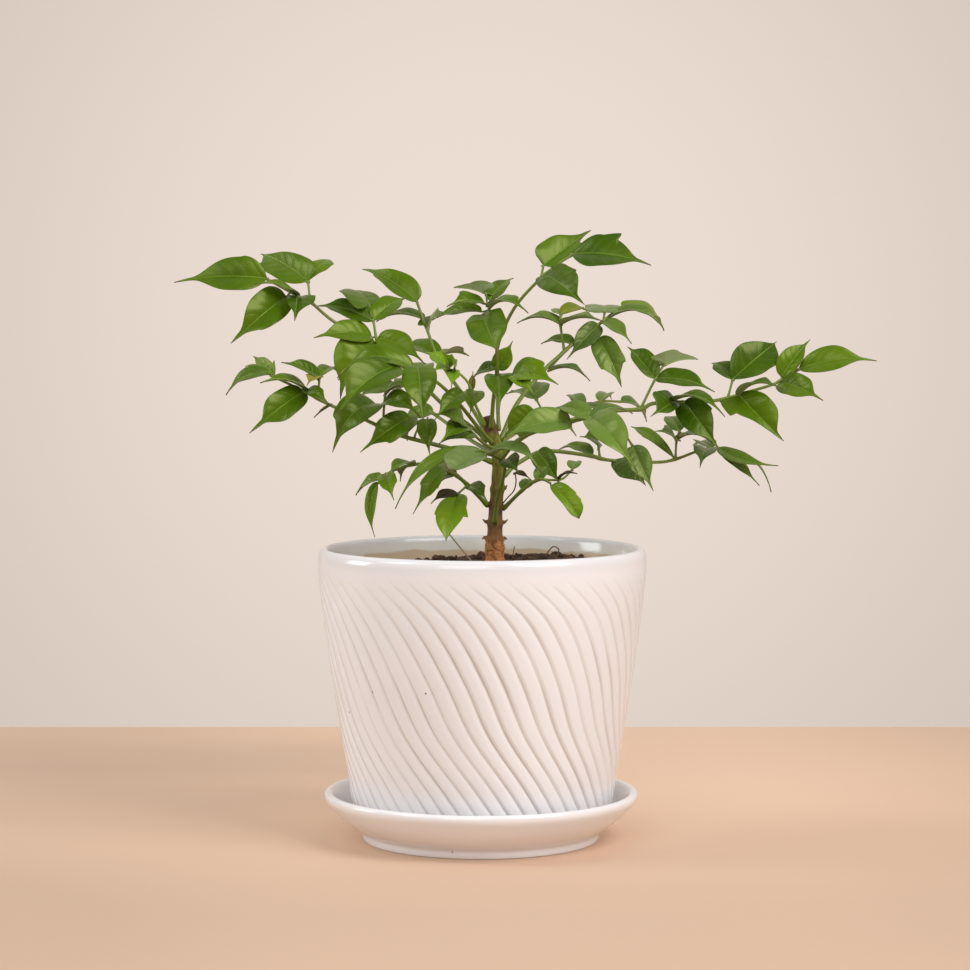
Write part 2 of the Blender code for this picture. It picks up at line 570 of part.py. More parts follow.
def unit(v):
    return v / np.linalg.norm(v)


def tube(path, radii, sides):
    """A closed tube with this many sides along the path."""
    path = np.array(path, float)
    along = np.gradient(path, axis=0)
    side = unit(np.cross(along[0], (0.13, 0.92, 0.37)))
    rings = []
    for centre, heading, radius in zip(path, along, radii):
        heading = unit(heading)
        side = unit(side - heading * side.dot(heading))
        other = np.cross(heading, side)
        rings.append([
            tuple(centre + radius * (side * math.cos(a) + other * math.sin(a)))
            for a in (math.tau * i / sides for i in range(sides))
        ])
    return stacked(rings, closed=False)


def placed(across, up, depth):
    """The point at this depth that the eye sees at across and up."""
    reach = (EYE_DISTANCE + depth) / EYE_DISTANCE
    return np.array((EYE_ACROSS + (across - EYE_ACROSS) * reach, depth, EYE_UP + (up - EYE_UP) * reach))


def blade_line(base, tip, normal, arch, t):
    """The midrib: straight from base to tip, raised by a parabola along the blade's own upright."""
    length = np.linalg.norm(tip - base)
    return base + (tip - base) * t + normal * (4 * arch * length * t * (1 - t))


def blade_normal(base, tip, face):
    target = np.array((0.0, -math.sin(math.radians(face)), math.cos(math.radians(face))))
    along = unit(tip - base)
    return unit(target - along * target.dot(along))


def section(centre, upright, across, left, right, thickness, fold):
    """Six points across a blade: the upper side from left to right, then the lower side."""
    points = []
    for lift in (0.5 * thickness, -0.5 * thickness):
        for out in (-left, 0.0, right):
            side = across * out * math.cos(fold) + upright * abs(out) * math.sin(fold)
            points.append(centre + side + upright * lift)
    return points


def skinned(sections, end_above, end_below):
    """A closed body over the sections, capped at the root and drawn to an edge at the tip."""
    points = [p for one in sections for p in one] + [end_above, end_below]
    faces = [(0, 3, 4, 1), (1, 4, 5, 2)]
    for number in range(len(sections) - 1):
        first, second = 6 * number, 6 * number + 6
        for i in (0, 1):
            faces.append((first + i, first + i + 1, second + i))
            faces.append((first + i + 1, second + i + 1, second + i))
            faces.append((first + 3 + i, second + 3 + i, first + 4 + i))
            faces.append((first + 4 + i, second + 3 + i, second + 4 + i))
        faces.append((first, second, second + 3, first + 3))
        faces.append((first + 2, first + 5, second + 5, second + 2))
    last = 6 * (len(sections) - 1)
    above, below = last + 6, last + 7
    for i in (0, 1):
        faces.append((last + i, last + i + 1, above))
        faces.append((last + 3 + i, below, last + 4 + i))
    faces += [(last, above, below, last + 3), (last + 2, last + 5, below, above)]
    return [tuple(p) for p in points], faces


def square_to(heading, across, normal):
    """The across direction turned square to the heading."""
    left = across - heading * across.dot(heading)
    if np.linalg.norm(left) < 0.35:
        left = np.cross(heading, normal)
        left = left if left.dot(across) > 0 else -left
    return unit(left)


def nearest_on_stems(stems, point):
    """The nearest point on the stems' centre lines."""
    best = None
    for path in stems:
        for a, b in zip(path, path[1:]):
            t = np.clip((point - a).dot(b - a) / (b - a).dot(b - a), 0.0, 1.0)
            there = a + (b - a) * t
            distance = np.linalg.norm(point - there)
            if best is None or distance < best[0]:
                best = (distance, there)
    return best[1]


def leaflet(stems, row, chance):
    """A folded leaflet with a drip tip, whose stalk is sunk in the nearest stem."""
    base, tip = placed(*row[0:3]), placed(*row[3:6])
    width, face, arch = row[6:9]
    lobe = row[9] if len(row) > 9 else 0.0
    normal = blade_normal(base, tip, face)
    across = np.cross(unit(tip - base), normal)
    root = nearest_on_stems(stems, base)
    first = unit(blade_line(base, tip, normal, arch, 0.06) - base)
    stalk = (STALK_HALF, STALK_HALF, 2 * STALK_HALF, 0.0)
    sections = []
    if np.linalg.norm(base - root) > 1.0:
        away = unit(base - root)
        for centre, heading in ((root, away), (base, unit(away + first))):
            side = square_to(heading, across, normal)
            sections.append(section(centre, np.cross(side, heading), side, *stalk))
    else:
        sections.append(section(root, np.cross(across, first), across, *stalk))
    small = width < SMALL_BLADE
    toothed = chance.randrange(2)
    stations = SMALL_STATIONS if small else BLADE_STATIONS
    for number, (t, half) in enumerate(stations):
        shares = [half * chance.uniform(0.92, 1.08) for _ in range(2)]
        if number == len(stations) - 2:
            shares[toothed] *= 1.18
        if number == len(stations) - 1:
            shares[toothed] *= 0.8
        if number == 1:
            shares[int(lobe > 0)] *= 1.0 + abs(lobe)
        middle = blade_line(base, tip, normal, arch, t)
        ahead = blade_line(base, tip, normal, arch, t + 0.01)
        behind = blade_line(base, tip, normal, arch, t - 0.01)
        upright = unit(np.cross(across, unit(ahead - behind)))
        halves = [0.5 * width * share for share in shares]
        sections.append(section(middle, upright, across, *halves, BLADE_THICKNESS, BLADE_FOLD))
    end = blade_line(base, tip, normal, arch, 1.0)
    return skinned(sections, end + normal * 0.5 * BLADE_THICKNESS, end - normal * 0.5 * BLADE_THICKNESS)


def fused(name, bodies, look):
    """One solid from several that overlap."""
    helpers = bpy.data.collections.new(name + " pieces")
    bpy.context.scene.collection.children.link(helpers)
    for number, body in enumerate(bodies[1:]):
        piece = mesh_object(f"{name}_piece_{number}", *body, look)
        bpy.context.scene.collection.objects.unlink(piece)
        helpers.objects.link(piece)
    first = mesh_object(name, *bodies[0], look)
    join = first.modifiers.new("join", "BOOLEAN")
    join.operation = "UNION"
    join.operand_type = "COLLECTION"
    join.collection = helpers
    join.solver = "MANIFOLD"
    graph = bpy.context.evaluated_depsgraph_get()
    joined = bpy.data.meshes.new_from_object(first.evaluated_get(graph))
    first.modifiers.clear()
    first.data = joined
    first.data.name = name
    for piece in list(helpers.objects):
        bpy.data.objects.remove(piece, do_unlink=True)
    bpy.data.collections.remove(helpers)
    return first


def frond(name, rows, look):
    chance = random.Random(name)
    stems, bodies = [], []
    for points, thick, thin in rows["stems"]:
        path = np.array([placed(*p) for p in points])
        stems.append(path)
        bodies.append(tube(path, np.linspace(thick, thin, len(path)), STEM_SIDES))
    for row in rows["leaflets"]:
        bodies.append(leaflet(stems, row, chance))
    return fused(name, bodies, look)


def trunk(look):
    path = [(x, y, z) for x, y, z, r in TRUNK_PATH]
    radii = [r for x, y, z, r in TRUNK_PATH]
    bodies = [tube(path, radii, TRUNK_SIDES)]
    heights = [z for x, y, z, r in TRUNK_PATH]
    for up, direction, out, radius in TRUNK_SCARS:
        centre = np.array((np.interp(up, heights, [p[0] for p in path]), 0.0, up))
        girth = float(np.interp(up, heights, radii))
        angle = math.radians(direction)
        reach = np.array((math.cos(angle), math.sin(angle), 0.35))
        stub = [centre, centre + reach * girth, centre + reach * (girth + out - 1.0)]
        bodies.append(tube(stub, (radius, radius, 0.7 * radius), 6))
    return fused("trunk", bodies, look)


def build():
    clear_scene()
    glaze = material("white glaze", GLAZE_WHITE, 0.22)
    saucer(material("saucer glaze", GLAZE_WHITE, 0.22))
    pot(glaze)
    soil(material("soil", SOIL_BROWN, 0.95))
    trunk(material("bark", BARK_BROWN, 0.85))
    for name, rows in FRONDS.items():
        colour = FROND_COLOURS.get(name, LEAF_GREEN)
        frond(name, rows, material(name.replace("_", " "), colour, 0.42))


build()
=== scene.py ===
import bpy
import mathutils
import numpy as np
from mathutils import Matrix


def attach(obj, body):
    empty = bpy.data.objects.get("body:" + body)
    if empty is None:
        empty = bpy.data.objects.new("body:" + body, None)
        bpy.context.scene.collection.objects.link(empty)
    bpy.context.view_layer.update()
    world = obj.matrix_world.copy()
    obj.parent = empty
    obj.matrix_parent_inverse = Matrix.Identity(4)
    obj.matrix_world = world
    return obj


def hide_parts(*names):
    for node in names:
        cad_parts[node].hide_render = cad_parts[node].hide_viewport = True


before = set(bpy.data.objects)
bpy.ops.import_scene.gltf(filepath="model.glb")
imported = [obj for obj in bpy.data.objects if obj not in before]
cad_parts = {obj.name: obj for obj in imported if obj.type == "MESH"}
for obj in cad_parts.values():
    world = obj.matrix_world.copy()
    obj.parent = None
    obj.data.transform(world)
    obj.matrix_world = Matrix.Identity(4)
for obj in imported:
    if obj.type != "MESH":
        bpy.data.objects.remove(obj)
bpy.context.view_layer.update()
mm = 0.001
print("frame loaded")


# materials

class Value:
    # a socket of a material; arithmetic on it adds Math nodes
    def __init__(self, look, socket):
        self.look = look
        self.socket = socket

    def __add__(self, other):
        return self.look.sum("ADD", self, other)

    def __sub__(self, other):
        return self.look.sum("SUBTRACT", self, other)

    def __rsub__(self, other):
        return self.look.sum("SUBTRACT", other, self)

    def __mul__(self, other):
        return self.look.sum("MULTIPLY", self, other)

    def __pow__(self, other):
        return self.look.sum("POWER", self, other)

    def __abs__(self):
        return self.look.sum("ABSOLUTE", self)


class Look:
    # a material, or the world, and its nodes
    def __init__(self, name, kind=bpy.data.materials, shader="Principled BSDF"):
        self.owner = kind.new(name)
        self.owner.use_nodes = True
        self.nodes = self.owner.node_tree.nodes
        self.links = self.owner.node_tree.links
        self.shader = self.nodes[shader]

    def plug(self, socket, value):
        if isinstance(value, Value):
            self.links.new(value.socket, socket)
        elif socket.type == "RGBA":
            socket.default_value = (*value, 1.0)
        else:
            socket.default_value = value

    def node(self, kind, settings=None, inputs=None, output=0):
        made = self.nodes.new("ShaderNode" + kind)
        for key, value in (settings or {}).items():
            setattr(made, key, value)
        for key, value in (inputs or {}).items():
            self.plug(made.inputs[key], value)
        return Value(self, made.outputs[output])

    def sum(self, operation, first, second=0.0):
        return self.node("Math", {"operation": operation}, {0: first, 1: second})

    def step(self, value, low, high):
        # 0 before low, 1 after high, smooth between
        inputs = {"Value": value, "From Min": low, "From Max": high}
        return self.node("MapRange", {"interpolation_type": "SMOOTHSTEP"}, inputs, "Result")

    def mix(self, share, first, second):
        return self.node("Mix", {"data_type": "RGBA"}, {0: share, 6: first, 7: second}, 2)

    def coats(self, base, *coats):
        # each coat's share and colour, laid over what is below it
        for share, colour in coats:
            base = self.mix(share, base, colour)
        return base

    def place(self, stretch=None):
        spot = self.node("TexCoord", None, None, "Object")
        if stretch is None:
            return spot
        return self.node("VectorMath", {"operation": "MULTIPLY"}, {0: spot, 1: stretch})

    def noise(self, place, scale, detail=3.0, roughness=0.5):
        inputs = {"Vector": place, "Scale": scale, "Detail": detail, "Roughness": roughness}
        return self.node("TexNoise", None, inputs)

    def cells(self, place, scale, feature="F1", output="Distance"):
        return self.node("TexVoronoi", {"feature": feature}, {"Vector": place, "Scale": scale}, output)

    def parts(self, vector):
        split = self.node("SeparateXYZ", None, {0: vector}).socket.node
        return [Value(self, socket) for socket in split.outputs]

    def values(self, name):
        return self.parts(self.node("Attribute", {"attribute_name": name}, None, "Vector"))

    def bump(self, height, strength, depth):
        return self.node("Bump", None, {"Height": height, "Strength": strength, "Distance": depth}, "Normal")

    def finish(self, **inputs):
        for key, value in inputs.items():
            self.plug(self.shader.inputs[key.replace("_", " ")], value)
        return self.owner


def shade(colour, share):
    return tuple(share * c for c in colour)


def addObject(name, data):
    made = bpy.data.objects.new(name, data)
    bpy.context.scene.collection.objects.link(made)
    return made


# shapes: points are in millimetres until they become a piece

def unit(vectors):
    # each vector over its own length
    return vectors / np.linalg.norm(vectors, axis=-1, keepdims=True)


def vectors(x, y, z):
    # three arrays, each spread over the others, as one array of vectors
    return np.stack(np.broadcast_arrays(x, y, z), -1)


def angles(count):
    # all the way round in even steps
    return 2 * np.pi * np.arange(count) / count


def smooth(values, low, high):
    # 3t² - 2t³, with t the share of the way from low to high
    t = np.clip((values - low) / (high - low), 0.0, 1.0)
    return t * t * (3.0 - 2.0 * t)


def bell(away, wide):
    # e to the minus square of away over wide: 1 in the middle, nearly 0 at twice the width
    return np.exp(-((away / wide) ** 2))


def ripple(points, size, seed):
    # soft noise round 0: ten sine waves in random directions, each shorter and lower than the last
    chance = np.random.default_rng(seed)
    ways = unit(chance.normal(size=(10, 3))) * (2 * np.pi / size * np.geomspace(1.0, 3.0, 10))[:, None]
    shares = np.geomspace(1.0, 0.4, 10)
    waves = np.sin(points @ ways.T + chance.uniform(0, 2 * np.pi, 10))
    return (waves * shares).sum(-1) / shares.sum() * 1.8


def throughTable(places, known, heights):
    # a cubic between each two points of a table, with slopes taken from the neighbours
    known, heights = np.asarray(known, float), np.asarray(heights, float)
    slopes = np.gradient(heights, known)
    i = np.clip(np.searchsorted(known, places) - 1, 0, len(known) - 2)
    span = known[i + 1] - known[i]
    t = (places - known[i]) / span
    start = (1 + 2 * t) * (1 - t) ** 2 * heights[i] + t * (1 - t) ** 2 * span * slopes[i]
    return start + t * t * (3 - 2 * t) * heights[i + 1] + t * t * (t - 1) * span * slopes[i + 1]


def smoothLine(points, count):
    # Catmull-Rom: half of 2b + (c-a)t + (2a-5b+4c-d)t² + (3b-a-3c+d)t³ between each two points
    points = np.asarray(points, float)
    p = np.vstack([2 * points[0] - points[1], points, 2 * points[-1] - points[-2]])
    a, b, c, d = p[:-3, None], p[1:-2, None], p[2:-1, None], p[3:, None]
    t = np.linspace(0, 1, count, endpoint=False)[None, :, None]
    line = 2 * b + (c - a) * t + (2 * a - 5 * b + 4 * c - d) * t**2 + (3 * b - a - 3 * c + d) * t**3
    return np.vstack([0.5 * line.reshape(-1, points.shape[1]), points[-1:]])


def ringFaces(rings, columns):
    # quads between each ring of points and the next one, all the way round
    r = columns * np.arange(rings - 1)[:, None]
    c = np.arange(columns)[None, :]
    after = (c + 1) % columns
    return np.stack([r + c, r + after, r + columns + after, r + columns + c], -1).reshape(-1, 4)


class Form:
    # points, faces and values per point, gathered until they become one piece
    def __init__(self):
        self.points, self.faces, self.values, self.count = [], [], {}, 0

    def add(self, points, faceSets, **values):
        self.points.append(points.reshape(-1, 3))
        self.faces += [faces + self.count for faces in faceSets]
        for name, value in values.items():
            spread = np.broadcast_to(value, points.shape)
            self.values.setdefault(name, []).append(spread.reshape(-1, 3))
        self.count += points.size // 3

    def piece(self, name, material, slot, node):
        mesh = bpy.data.meshes.new(name)
        faces = [face for block in self.faces for face in block.tolist()]
        mesh.from_pydata((np.vstack(self.points) * mm).tolist(), [], faces)
        mesh.update()
        for key, value in self.values.items():
            layer = mesh.attributes.new(key, "FLOAT_VECTOR", "POINT")
            layer.data.foreach_set("vector", np.vstack(value).astype(np.float32).ravel())
        mesh.materials.append(material)
        mesh.shade_smooth()
        made = addObject(name, mesh)
        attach(made, "root")
        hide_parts(node)


def stackForm(form, rings, **values):
    # rings of points, bottom to top, closed by a flat face at each end
    rows, columns = rings.shape[:2]
    low = np.arange(columns)[None, ::-1]
    high = (rows - 1) * columns + np.arange(columns)[None, :]
    form.add(rings, [ringFaces(rows, columns), low, high], **values)


def turned(line, columns, turn=0.0):
    # each (radius, height) of a line carried round the upright axis
    angle = angles(columns) + turn
    reach, up = line[:, :1], line[:, 1:2]
    return vectors(reach * np.cos(angle), reach * np.sin(angle), up)


def circles(line, sides):
    # circles of radius 1 square to the line: side cos a + other sin a
    along = unit(np.gradient(line, axis=0))
    helper = np.eye(3)[np.argmin(np.abs(line[-1] - line[0]))]
    side = unit(np.cross(along, helper))
    other = np.cross(along, side)
    a = angles(sides)[:, None]
    return side[:, None] * np.cos(a) + other[:, None] * np.sin(a)


def tube(form, line, radii, sides, **values):
    # the line's circles times its radii
    radii = np.reshape(radii, (-1, 1, 1))
    stackForm(form, line[:, None] + radii * circles(line, sides), **values)


# camera, light and floor

viewSettings = {
    "eye": (1.6, -1159.0, 213.0),  # mm
    "pitch": 86.5,
    "lens": 107.9,
    "aim": (0.0, 0.0, 0.14),  # where the lights look, m
    "wall": (0.835, 0.722, 0.643),  # behind the plant
    "dim": (0.637, 0.545, 0.478),  # the same wall farther out
    "dimming": (0.04, 0.275),  # from where to where, as a share of the distance to it
    "room": (0.34, 0.33, 0.335),  # round the viewer
    "floor": (0.72, 0.505, 0.355),
    # shares of the floor colour for its painted light and painted shade
    "floorPaintedLight": 1.20,
    "floorPaintedShade": 0.82,
    "floorSize": (2.0, 0.308),  # to the sides and the front, and to the back, m
}
# where it stands and its size in m, its power in W, its colour
lightSettings = {
    "light right": ((0.90, -0.76, 1.12), (0.90, 1.00), 17.0, (1.0, 0.99, 1.0)),
    "light left": ((-1.30, 0.12, 0.46), (0.50, 0.50), 4.6, (0.95, 0.98, 1.0)),
    "light high left": ((-0.85, -0.25, 1.02), (0.40, 0.40), 2.6, (0.95, 0.98, 1.0)),
    "light front": ((-0.35, -1.5, 0.9), (1.0, 0.8), 7.2, (0.96, 0.98, 1.0)),
}


def addCamera():
    camera = addObject("camera", bpy.data.cameras.new("camera"))
    camera.location = np.array(viewSettings["eye"]) * mm
    camera.rotation_euler = (np.radians(viewSettings["pitch"]), 0.0, 0.0)
    camera.data.lens = viewSettings["lens"]
    camera.data.sensor_width = 36.0
    camera.data.clip_start = 0.01
    bpy.context.scene.camera = camera


def addLights():
    for name, (place, size, power, colour) in lightSettings.items():
        light = bpy.data.lights.new(name, "AREA")
        light.shape = "RECTANGLE"
        light.size, light.size_y = size
        light.energy = power
        light.color = colour
        lamp = addObject(name, light)
        lamp.location = place
        back = lamp.location - mathutils.Vector(viewSettings["aim"])
        lamp.rotation_euler = back.to_track_quat("Z", "Y").to_euler()


def addRoom():
    # a pale wall, brightest straight behind the plant, and a grey room round the viewer
    v = viewSettings
    look = Look("studio", bpy.data.worlds, "Background")
    ray = look.node("TexCoord", None, None, "Generated")
    aside = look.node("VectorMath", {"operation": "DISTANCE"}, {0: ray, 1: (0.0, 1.0, 0.0)}, "Value")
    wall = look.mix(look.step(aside, *v["dimming"]), v["wall"], v["dim"])
    behind = look.step(look.parts(ray)[1], -0.2, 0.8)
    bpy.context.scene.world = look.finish(Color=look.mix(behind, v["room"], wall))


def addFloor():
    # pale, with painted light behind the pot and to its right, and painted shade in front and far out to the
    # sides
    v = viewSettings
    look = Look("pale floor")
    across, deep, _ = look.parts(look.place())
    # painted shade: the floor darker in front and far out to the sides
    away = look.step(abs(across - 0.03), 0.07, 0.25) * 0.62 + look.step(deep, 0.0, -0.16) * 0.7
    right = look.step(across, -0.10, 0.06)
    # painted light: the floor brighter behind the pot and to its right
    paintedLight = look.step(deep, -0.05, 0.09) * look.sum("MAXIMUM", right, look.step(deep, 0.19, 0.12))
    paintedLight = look.sum("MAXIMUM", paintedLight, look.step(deep, 0.22, 0.30) * 0.8)
    grain = look.noise(look.place((0.12, 1.0, 1.0)), 26.0)
    colour = look.mix(grain, shade(v["floor"], 0.95), shade(v["floor"], 1.05))
    colour = look.mix(paintedLight, colour, shade(v["floor"], v["floorPaintedLight"]))
    colour = look.mix(away, colour, shade(v["floor"], v["floorPaintedShade"]))
    mesh = bpy.data.meshes.new("floor")
    side, back = v["floorSize"]
    corners = [(-side, -side, 0), (side, -side, 0), (side, back, 0), (-side, back, 0)]
    mesh.from_pydata(corners, [], [(0, 1, 2, 3)])
    mesh.materials.append(look.finish(Base_Color=colour, Roughness=0.6))
    addObject("floor", mesh)


addCamera()
addLights()
addRoom()
addFloor()
bpy.context.scene.view_settings.view_transform = "Standard"
print("camera, light and floor placed")


# glazed pot and saucer

glazeSettings = {
    "white": (0.85, 0.83, 0.83),
    # glaze pooled in the grooves, darkened further as painted shade
    "pooledAndShaded": (0.56, 0.49, 0.43),
    # the inside: warmer, and painted brighter than the outer glaze as light falling into the pot
    "inner": (0.94, 0.90, 0.80),
    "stain": (0.74, 0.53, 0.32),
    "speck": (0.10, 0.07, 0.05),
    "rough": 0.13,
    "paintedRimShade": (110.0, 115.0),  # where painted shade on the rim begins, mm up
    "innerEdge": (116.6, 113.5),  # where the warmer inside, painted brighter as light, begins
    "stainLine": (111.8, 110.6),  # how high watering has stained it
}


def glaze(name, inside):
    # white glaze, darker in the grooves where it pools and where shade is painted in, with a few dark specks
    # fired into it
    g = glazeSettings
    look = Look(name)
    place = look.place()
    groove, inner, up = look.values("wall")
    cloud = look.noise(place, 28.0)
    base = look.mix(cloud, shade(g["white"], 0.97), g["white"])
    # pooled glaze in the grooves, partly painted shade
    base = look.mix(look.step(groove, 0.35, 1.0) * 0.75, base, g["pooledAndShaded"])
    if inside:
        # painted shade: the rim's glaze darkened where it faces up
        base = look.mix(look.step(up, *g["paintedRimShade"]) * (1.0 - inner), base, shade(g["white"], 0.93))
        # painted light: the inside brighter than the outer glaze
        base = look.mix(inner * look.step(up, *g["innerEdge"]), base, g["inner"])
        line = up + look.noise(place, 60.0) * 5.0 - 2.5
        base = look.mix(inner * look.step(line, *g["stainLine"]) * 0.85, base, g["stain"])
    pick = look.parts(look.cells(place, 100.0, output="Color"))[0]
    dots = look.step(look.cells(place, 100.0), 0.045, 0.025) * look.step(pick, 0.35, 0.45)
    base = look.mix(dots, base, g["speck"])
    normal = look.bump(look.noise(place, 35.0, 2.0) + look.noise(place, 420.0, 2.0) * 0.06, 0.12, 0.0016)
    rough = cloud * 0.06 + groove * 0.12 + g["rough"]
    return look.finish(Base_Color=base, Roughness=rough, Normal=normal, Coat_Weight=0.3, Coat_Roughness=0.04)


potSettings = {
    "ribs": 52, "depth": 0.95, "crest": 0.2, "perRib": 12, "rows": 92, "aside": 0.5,
    "inside": (2, 17),  # which points of the lip's line are the inner wall
}
# height, radius over the ribs, twist in degrees, share of the rib depth
potWall = (
    (7.7, 48.4, 61, 0), (11, 50.5, 58, 0.75), (27, 54, 46, 1), (48, 57.5, 30.9, 1),
    (70, 61, 21.4, 1), (85, 63, 14.2, 0.95), (96, 64.4, 7.2, 0.75), (103.2, 65.2, 0.5, 0.4),
    (107.6, 65.6, -4.1, 0.12), (113.6, 65.6, -9, 0),
)
# radius and height over the lip, down the inner wall, through the drain hole and round the foot
potLip = (
    (65.45, 115), (64.95, 116.15), (64.1, 116.9), (63, 117.2), (62.2, 116.9), (61.6, 116), (61.2, 114.6),
    (60.95, 111.5), (60.6, 108), (58.7, 90), (55.2, 60), (50.8, 32), (45.6, 12.6), (43.6, 10.6),
    (40.6, 10), (18, 10), (7, 9.9), (6, 9.2), (6, 7.2), (6.6, 6.4), (20, 6.4), (42.4, 6.4),
    (43.2, 6.1), (43.8, 5.5), (44.8, 5.3), (47, 5.3), (47.8, 5.7), (48.3, 6.6),
)


def addPot():
    # outer wall: the table's radius less the rib depth times a cusp, deepest at the groove, nil at the crest
    s = potSettings
    columns = s["ribs"] * s["perRib"]
    table = np.array(potWall)
    up = np.linspace(table[0, 0], table[-1, 0], s["rows"])
    radius, twist, share = (throughTable(up, table[:, 0], table[:, k]) for k in (1, 2, 3))
    phase = np.arange(columns)[None, :] / s["perRib"]
    across = phase % 1.0
    rise = np.clip(1.0 - across / s["crest"], 0.0, 1.0) ** 1.5
    fall = np.clip((across - s["crest"]) / (1.0 - s["crest"]), 0.0, 1.0) ** 4.0
    way = 2 * np.pi * phase / s["ribs"]
    worn = 0.85 + 0.3 * ripple(vectors(60 * np.cos(way), 60 * np.sin(way), 0.6 * up[:, None]), 34.0, 8)
    groove = (rise + fall) * np.clip(share, 0.0, 1.0)[:, None] * np.clip(worn, 0.3, 1.1)
    angle = np.radians(twist)[:, None] + way
    reach = radius[:, None] - s["depth"] * groove
    wall = vectors(reach * np.cos(angle), reach * np.sin(angle), up[:, None])
    lip = np.array(potLip)
    turns = np.radians(np.linspace(twist[-1], twist[0], len(lip) + 2))[1:-1, None]
    rings = np.concatenate([wall, turned(lip, columns, turns)])
    inner = np.zeros(rings.shape[:2])
    inner[slice(*(s["rows"] + k for k in s["inside"]))] = 1.0
    rings[..., 0] += s["aside"]
    deep = np.concatenate([groove, np.zeros((len(lip), columns))])
    # the last ring meets the first one
    faces = ringFaces(len(rings) + 1, columns) % (len(rings) * columns)
    form = Form()
    form.add(rings, [faces], wall=vectors(deep, inner, rings[..., 2]))
    form.piece("glazedPot", glaze("pot glaze", True), "pot_glaze", "pot")


saucerSettings = {"columns": 180, "between": 4}
# radius and height, from under the foot round the rim to the middle of the dish
saucerLine = (
    (1, 0.6), (30, 0.6), (45.2, 0.5), (46, 0.1), (46.8, 0), (47.4, 0.4), (47.6, 1.4), (47.6, 2.8),
    (48.2, 3.7), (50.1, 4.8), (53.4, 7.2), (57.1, 10.3), (60.1, 13.4), (62.2, 16), (62.8, 17.6), (62.6, 18.8),
    (61.8, 19.4), (60.8, 19.5), (59.8, 19), (58.6, 17.4), (56.2, 12.6), (53.5, 8.4), (51.4, 6.1),
    (49.4, 5.1), (46, 5), (30, 5), (10, 5), (1, 5),
)


def addSaucer():
    form = Form()
    line = smoothLine(saucerLine, saucerSettings["between"])
    stackForm(form, turned(line, saucerSettings["columns"]), wall=(0.0, 0.0, 0.0))
    form.piece("glazedSaucer", glaze("saucer glaze", False), "saucer_glaze", "saucer")


addPot()
addSaucer()
print("pot and saucer made")


# fronds

# A stem is its points (across, up, depth) and its radius at each end; a withered one has a single radius.
# A leaflet is its base and its tip (across, up, depth), its width, where its upper side looks (0 the sky,
# 90 the viewer), its arch and, on some, what differs from bladeSettings. There a pair holds for one half
# each, a tooth is its side (0 or 1), its place and its size, and a mood is how young, how dry and how pale
# the leaflet is. The small leaflets are withered or half hidden.
fronds = {}
fronds["frond_upper_left"] = dict(stems=(
    ((1.5, 160, 0.6), (-1.6, 163.6, 0.5), (-14, 173.2, -2), (-27.6, 186.4, -3), (-41.2, 197.2, -4),
     (-58.4, 207.2, -6), (-68, 215.2, -8), (-73.2, 217.6, -8), (-85.6, 224.4, -8), 1.15, 0.6),
    ((-68, 215.2, -8), (-68.8, 223.4, -6), 0.6, 0.5),
    ((-41.2, 197.2, -4), (-42.8, 207.2, -1), (-44.4, 213.6, 2), 0.7, 0.5),
), leaflets=(
    (-85.2, 224.4, -8, -122, 222.8, -12, 17.6, 60, 0.07, dict(
        round=0.75, widest=(0.38, 0.27), full=1.25, tipStart=0.82, tail=0.12, teeth=((1, 0.24, 0.05),))),
    (-68.8, 223.2, -6, -87.4, 234, 14, 15.6, 61, 0.04, dict(
        round=(0.5, 0.4), widest=(0.45, 0.18), full=(1.8, 1.3), sides=(1.15, 1), heart=0, tipStart=0.95,
        twist=0, teeth=((0, 0.76, 0.3),))),
    (-68.8, 223.2, -6, -60, 231.6, 8, 8.4, 46, 0.1, dict(
        fold=8, sides=(0.95, 0.85), widest=(0.45, 0.65), round=(0.6, 1.1), full=(2, 2.6), tipStart=1.02,
        tail=0.3, twist=0, teeth=())),
    (-73.4, 217.8, -9, -90, 222, -22, 11, 34, 0.12, dict(twist=0, sides=(1.15, 0.45))),
    (-77.6, 217.2, -9, -99.6, 198.6, -24, 15.5, 85, 0.12, dict(
        teeth=((0, 0.62, 0.08),), tail=0.2, heart=0.12, sides=(0.92, 1.1))),
    (-72.8, 216.6, -9, -74.2, 207.6, -26, 11, 71, 0.12, dict(
        sides=(1.45, 0.8), heart=(0.1, 0.4), tail=0.22, round=0.4, full=1.6, teeth=())),
    (-44.4, 213.6, 2, -54, 219.4, 22, 15.5, -14, 0.1, dict(
        fold=10, heart=(1, 0.5), sides=(1.3, 1), twist=0, teeth=())),
    (-43.2, 207.6, -1, -66, 213.2, 10, 11.6, 43, 0.12), (-42.8, 208, -1, -29.2, 216.4, 14, 10.8, 45, 0.12),
    (-43.6, 201.2, -3, -66.6, 200.8, -14, 12.8, 51, 0.08), (-41, 200.8, -3, -22.4, 190.4, -8, 11.6, 53, 0.15),
    (-41.6, 197.8, -4, -56, 176.4, -12, 20.2, 70, 0.26, dict(bend=0.1, round=0.4, widest=0.32, heart=0.2)),
))
fronds["frond_upper_centre"] = dict(stems=(
    ((2.1, 163, 2.8), (-5, 175, 9), (-16.4, 191.6, 16), (-21.6, 204.4, 19), (-25.6, 215.4, 20), 1.1, 0.6),
), leaflets=(
    (-25.6, 215.2, 20, -47, 228, 34, 13.6, 42, 0.1, dict(
        fold=31, teeth=((0, 0.72, 0.2),), round=0.45, widest=0.3, full=1.2, tail=0.22)),
    (-22.8, 208.4, 20, -41.6, 207.2, 34, 10, 12, 0.12),
    (-21.2, 205.8, 18, -14.6, 210.4, 34, 16, -42, 0.08, dict(
        fold=36, heart=(0.2, 1.9), sides=(0.6, 1.4), widest=(0.15, 0.07), round=0.3, full=0.8, teeth=())),
    (-16.4, 193.4, 16, -4.8, 193.6, 30, 12, -14, 0.1), (-17, 193, 16, -33, 196, 36, 12, 30, 0.12),
))
